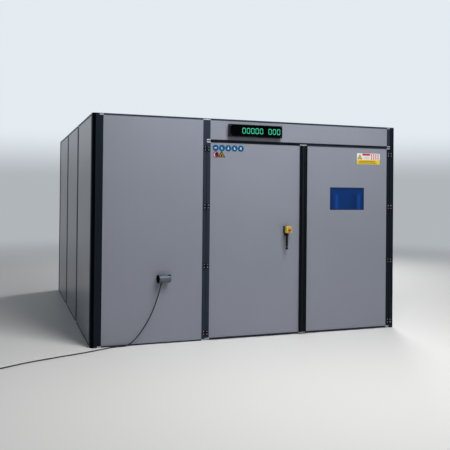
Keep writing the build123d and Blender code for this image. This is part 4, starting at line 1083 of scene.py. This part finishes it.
class CELL_OT_colour_plate(bpy.types.Operator):
    """Puts the plate with plain colour fields on the right leaf"""

    bl_idname = "cell.colour_plate"
    bl_label = "Colour Plate"

    # The plate lies this far inside the leaf's right and upper edges
    side_inset = 129 * MM
    top_drop = 72 * MM
    field_reach = 0.12 * MM
    diamond_reach = 11 * MM
    # Each field by its left, right, lower and upper share of the plate, with its colour's place
    fields = (
        ((0.0, 1.0, 0.0, 0.41), 1),
        ((0.23, 0.57, 0.79, 0.98), 2),
        ((0.31, 0.54, 0.62, 0.68), 4),
        ((0.31, 0.54, 0.49, 0.55), 4),
    )
    band_bars = ((0.10, 0.80, 0.22, 0.32), (0.06, 0.86, 0.07, 0.17))
    # The diamonds' rows and columns, and the triangle's middle, as shares of the plate
    diamond_rows = (0.52, 0.70, 0.88)
    diamond_columns = (0.635, 0.73, 0.825, 0.92)
    triangle_middle = (0.125, 0.6)
    # The triangle's dark edge, its middle and its dark spot, with their colours' places
    triangles = ((36 * MM, 5), (26 * MM, 1), (9 * MM, 5))

    def execute(self, context):
        sizes = context.scene.cell_sizes
        width, height = sizes.plate_width, sizes.plate_height

        def spot(x, z):
            return Vector((x * width, 0, z * height))

        def rectangle(left, right, lower, upper):
            corners = ((left, lower), (right, lower), (right, upper), (left, upper))
            return [(x * width, z * height) for x, z in corners]

        leaf_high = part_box("door_right_end_blocks")[1]
        left = leaf_high.x - self.side_inset - width
        bottom = leaf_high.z - self.top_drop - height
        origin = Vector((left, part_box("door_right_sheet")[0].y, bottom))
        mesh = bmesh.new()
        face = add_plate(mesh, rectangle(0, 1, 0, 1), origin, sizes.sticker)
        for field, index in self.fields:
            add_plate(mesh, rectangle(*field), face, self.field_reach, index)
        band = face + Vector((0, -self.field_reach, 0))
        for field in self.band_bars:
            add_plate(mesh, rectangle(*field), band, self.field_reach, 3)
        # A field of small red diamonds stands at the right
        diamond = round_outline(self.diamond_reach, 4)
        for z in self.diamond_rows:
            for x in self.diamond_columns:
                add_plate(mesh, diamond, face + spot(x, z), self.field_reach, 2)
        layers = [(triangle_outline(reach), self.field_reach, index) for reach, index in self.triangles]
        add_layers(mesh, face + spot(*self.triangle_middle), *layers)
        inks = {
            "white_plate_field": "#e6e4df",
            "yellow_plate_field": "#e3c63c",
            "red_plate_field": "#c23a40",
            "ochre_plate_field": "#a3872f",
            "grey_plate_field": "#bfb9bf",
            "dark_plate_field": "#2b2a1c",
        }
        foils = [printed_foil(name, code) for name, code in inks.items()]
        new_piece("colour_plate", mesh, "door_right", "wall_sheet", *foils)
        return {"FINISHED"}


class CELL_OT_stop_switch(bpy.types.Operator):
    """Gives the stop switch its yellow cover, black base, red button and cover screws"""

    bl_idname = "cell.stop_switch"
    bl_label = "Stop Switch"

    # The cover's corner screws stand this far behind its front
    collar_height = 4 * MM
    lug_radius = 18 * MM
    lug_thickness = 14 * MM
    bore_radius = 12 * MM

    def add_base(self, black):
        """The black base: square behind the cover, with a round lug at its front that carries the lever."""
        low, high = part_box("switch_base")
        cover_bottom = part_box("switch_cover")[0].z
        hub = lever_hub()
        square = [(high.x, cover_bottom), (high.x, high.z), (low.x, high.z), (low.x, cover_bottom)]
        arc = [math.pi * (1 + step / 16) for step in range(17)]
        reach = self.lug_radius
        lug = [(hub.x + reach, cover_bottom), (hub.x - reach, cover_bottom)]
        lug += [(hub.x + reach * math.cos(turn), hub.z + reach * math.sin(turn)) for turn in arc]
        hole = round_outline(self.bore_radius, 32, (hub.x, hub.z))
        lug_back = Vector((0, low.y + self.lug_thickness, 0))
        mesh = bmesh.new()
        add_pierced_plate(mesh, lug, hole, lug_back, self.lug_thickness)
        add_plate(mesh, square, Vector((0, high.y, 0)), high.y - low.y)
        base = new_piece("stop_switch_base", mesh, "door_left", "black_plastic", black)
        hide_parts("switch_base")

    def execute(self, context):
        colours = context.scene.cell_colours
        black = moulded_plastic("black_moulded_polyamide", "#08090b")
        give("switch_base", black)
        self.add_base(black)
        give("switch_cover", moulded_plastic("yellow_moulded_abs", colours.cover, (0.3, 0.42)))
        give("stop_button_stem", black)
        give("stop_button_head", moulded_plastic("red_moulded_abs", colours.button, (0.22, 0.32), 0.01))
        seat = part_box("switch_cover")[0].y + self.collar_height
        steel = plated_steel("cover_screw_head")
        corner_screws("cover_screws", "switch_cover", "door_left", seat, 3.0 * MM, 1.2 * MM, steel)
        return {"FINISHED"}


class CELL_OT_lever_and_lock(bpy.types.Operator):
    """Gives lever, lock case, latch and shoot bolts their finishes, and sets the lock's screws"""

    bl_idname = "cell.lever_and_lock"
    bl_label = "Lever and Lock"

    # The grip's profile in millimetres: radius, and distance down the shaft from the hub
    grip_profile = ((9.5, 12), (12.5, 17), (12.5, 32), (13.0, 112), (12.0, 122), (9.0, 128))
    grip_depth_share = 0.8

    def add_grip(self):
        """The oval moulded grip that covers the shaft from the hub to the knob."""
        mesh = bmesh.new()
        down = Matrix.Translation(lever_hub()) @ Matrix.Rotation(math.pi / 2, 4, "X")
        oval = Matrix.Diagonal((1, 1, self.grip_depth_share, 1))
        profile = [(radius * MM, reach * MM) for radius, reach in self.grip_profile]
        add_lathe(mesh, profile, down @ oval, 28)
        new_piece("lever_grip", mesh, "lever", "black_plastic", moulded_plastic("black_grip", "#04060a"))

    def execute(self, context):
        coat = black_coated_metal("black_coated_lever", "#08090b", (0.3, 0.42))
        give("door_lever", coat)
        self.add_grip()
        give("inner_lever", coat)
        zinc = plated_steel("zinc_plated_lock")
        for node in ("lock_case", "latch_bolt", "bolt_guides", "top_bolt", "bottom_bolt"):
            give(node, zinc)
        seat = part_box("lock_case")[1].y
        steel = plated_steel("lock_screw_head")
        corner_screws(
            "lock_case_screws", "lock_case", "door_left", seat, 3.5 * MM, 2.0 * MM, steel, facing_rear
        )
        return {"FINISHED"}


class CELL_OT_door_switches(bpy.types.Operator):
    """Gives the door switches and their actuators their finishes"""

    bl_idname = "cell.door_switches"
    bl_label = "Door Switches"

    lamp_inset = 20 * MM
    lamp_height = 12 * MM
    lamp_profile = [(3 * MM, 0), (2.8 * MM, 1 * MM), (1.6 * MM, 1.8 * MM)]

    def execute(self, context):
        black = moulded_plastic("black_moulded_actuator", "#17181b")
        give("interlock_switches", moulded_plastic("red_moulded_switch", "#b2331f"))
        give("interlock_actuator_left", black)
        give("interlock_actuator_right", black)
        lamps = bmesh.new()
        low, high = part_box("interlock_switches")
        for x in (low.x + self.lamp_inset, high.x - self.lamp_inset):
            spot = Vector((x, high.y, low.z + self.lamp_height))
            add_lathe(lamps, self.lamp_profile, facing_rear(spot), 16)
        new_piece("switch_lamps", lamps, "enclosure", "switch_red", lit_diode("switch_diode", "#3ecf6a"))
        return {"FINISHED"}


class CELL_OT_outlet(bpy.types.Operator):
    """Gives the cable outlet, its cap, clip and gland their finishes"""

    bl_idname = "cell.outlet"
    bl_label = "Cable Outlet"

    # The barrel points to the left and is turned by this angle away from the wall
    barrel_turn = math.radians(8)
    # The rounded bead at the mouth is this long
    bead_length = 8.8 * MM

    def execute(self, context):
        colours = context.scene.cell_colours
        grey = moulded_plastic("grey_moulded_outlet", colours.outlet, (0.34, 0.46))
        # Black for the bead at the mouth and painted shade inside the bore
        black = moulded_plastic("black_moulded_liner", "#0c0d10")
        axis = Vector((-math.cos(self.barrel_turn), -math.sin(self.barrel_turn), 0))
        points = [vertex.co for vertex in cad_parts["outlet_barrel"].data.vertices]
        bead = max(point.dot(axis) for point in points) - self.bead_length
        front = min(points, key=lambda point: point.y)
        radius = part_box("outlet_barrel")[1].z - front.z
        middle = Vector((front.x, front.y + radius, front.z))

        # The bead at the mouth is black, and the bore inside is black as painted shade
        def dark(spot, normal):
            from_axis = (spot - middle) - axis * (spot - middle).dot(axis)
            inside = normal.dot(from_axis) < 0 and from_axis.length < radius
            return inside or spot.dot(axis) > bead

        give_split("outlet_barrel", grey, black, dark)
        give("outlet_cap", moulded_plastic("dark_moulded_cap", "#39404c", (0.34, 0.46)))
        give("outlet_fittings", black_coated_metal("black_coated_clip"))
        give("outlet_gland", moulded_plastic("black_moulded_gland", "#1b1c20"))
        return {"FINISHED"}


class CELL_PT_panel(bpy.types.Panel):
    """Lists the steps that dress the cell"""

    bl_idname = "CELL_PT_panel"
    bl_label = "Welding Cell"
    bl_space_type = "VIEW_3D"
    bl_region_type = "UI"
    bl_category = "Welding Cell"

    def draw(self, context):
        for operator in operators:
            self.layout.operator(operator.bl_idname)
        for group in (context.scene.cell_colours, context.scene.cell_sizes):
            box = self.layout.box()
            for name in group.__annotations__:
                box.prop(group, name)


operators = (
    CELL_OT_stage,
    CELL_OT_supply_lead,
    CELL_OT_frame_finishes,
    CELL_OT_block_plugs,
    CELL_OT_sheet_finishes,
    CELL_OT_hinges,
    CELL_OT_seals,
    CELL_OT_window,
    CELL_OT_display,
    CELL_OT_sign_discs,
    CELL_OT_colour_plate,
    CELL_OT_stop_switch,
    CELL_OT_lever_and_lock,
    CELL_OT_door_switches,
    CELL_OT_outlet,
)
classes = (CellColours, CellSizes, *operators, CELL_PT_panel)


def register():
    for item in classes:
        bpy.utils.register_class(item)
    bpy.types.Scene.cell_colours = PointerProperty(type=CellColours)
    bpy.types.Scene.cell_sizes = PointerProperty(type=CellSizes)


def unregister():
    del bpy.types.Scene.cell_sizes
    del bpy.types.Scene.cell_colours
    for item in reversed(classes):
        bpy.utils.unregister_class(item)


def main():
    """Dresses the cell step by step."""
    register()
    for operator in operators:
        group, name = operator.bl_idname.split(".")
        getattr(getattr(bpy.ops, group), name)()
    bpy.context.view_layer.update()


if __name__ == "__main__":
    main()
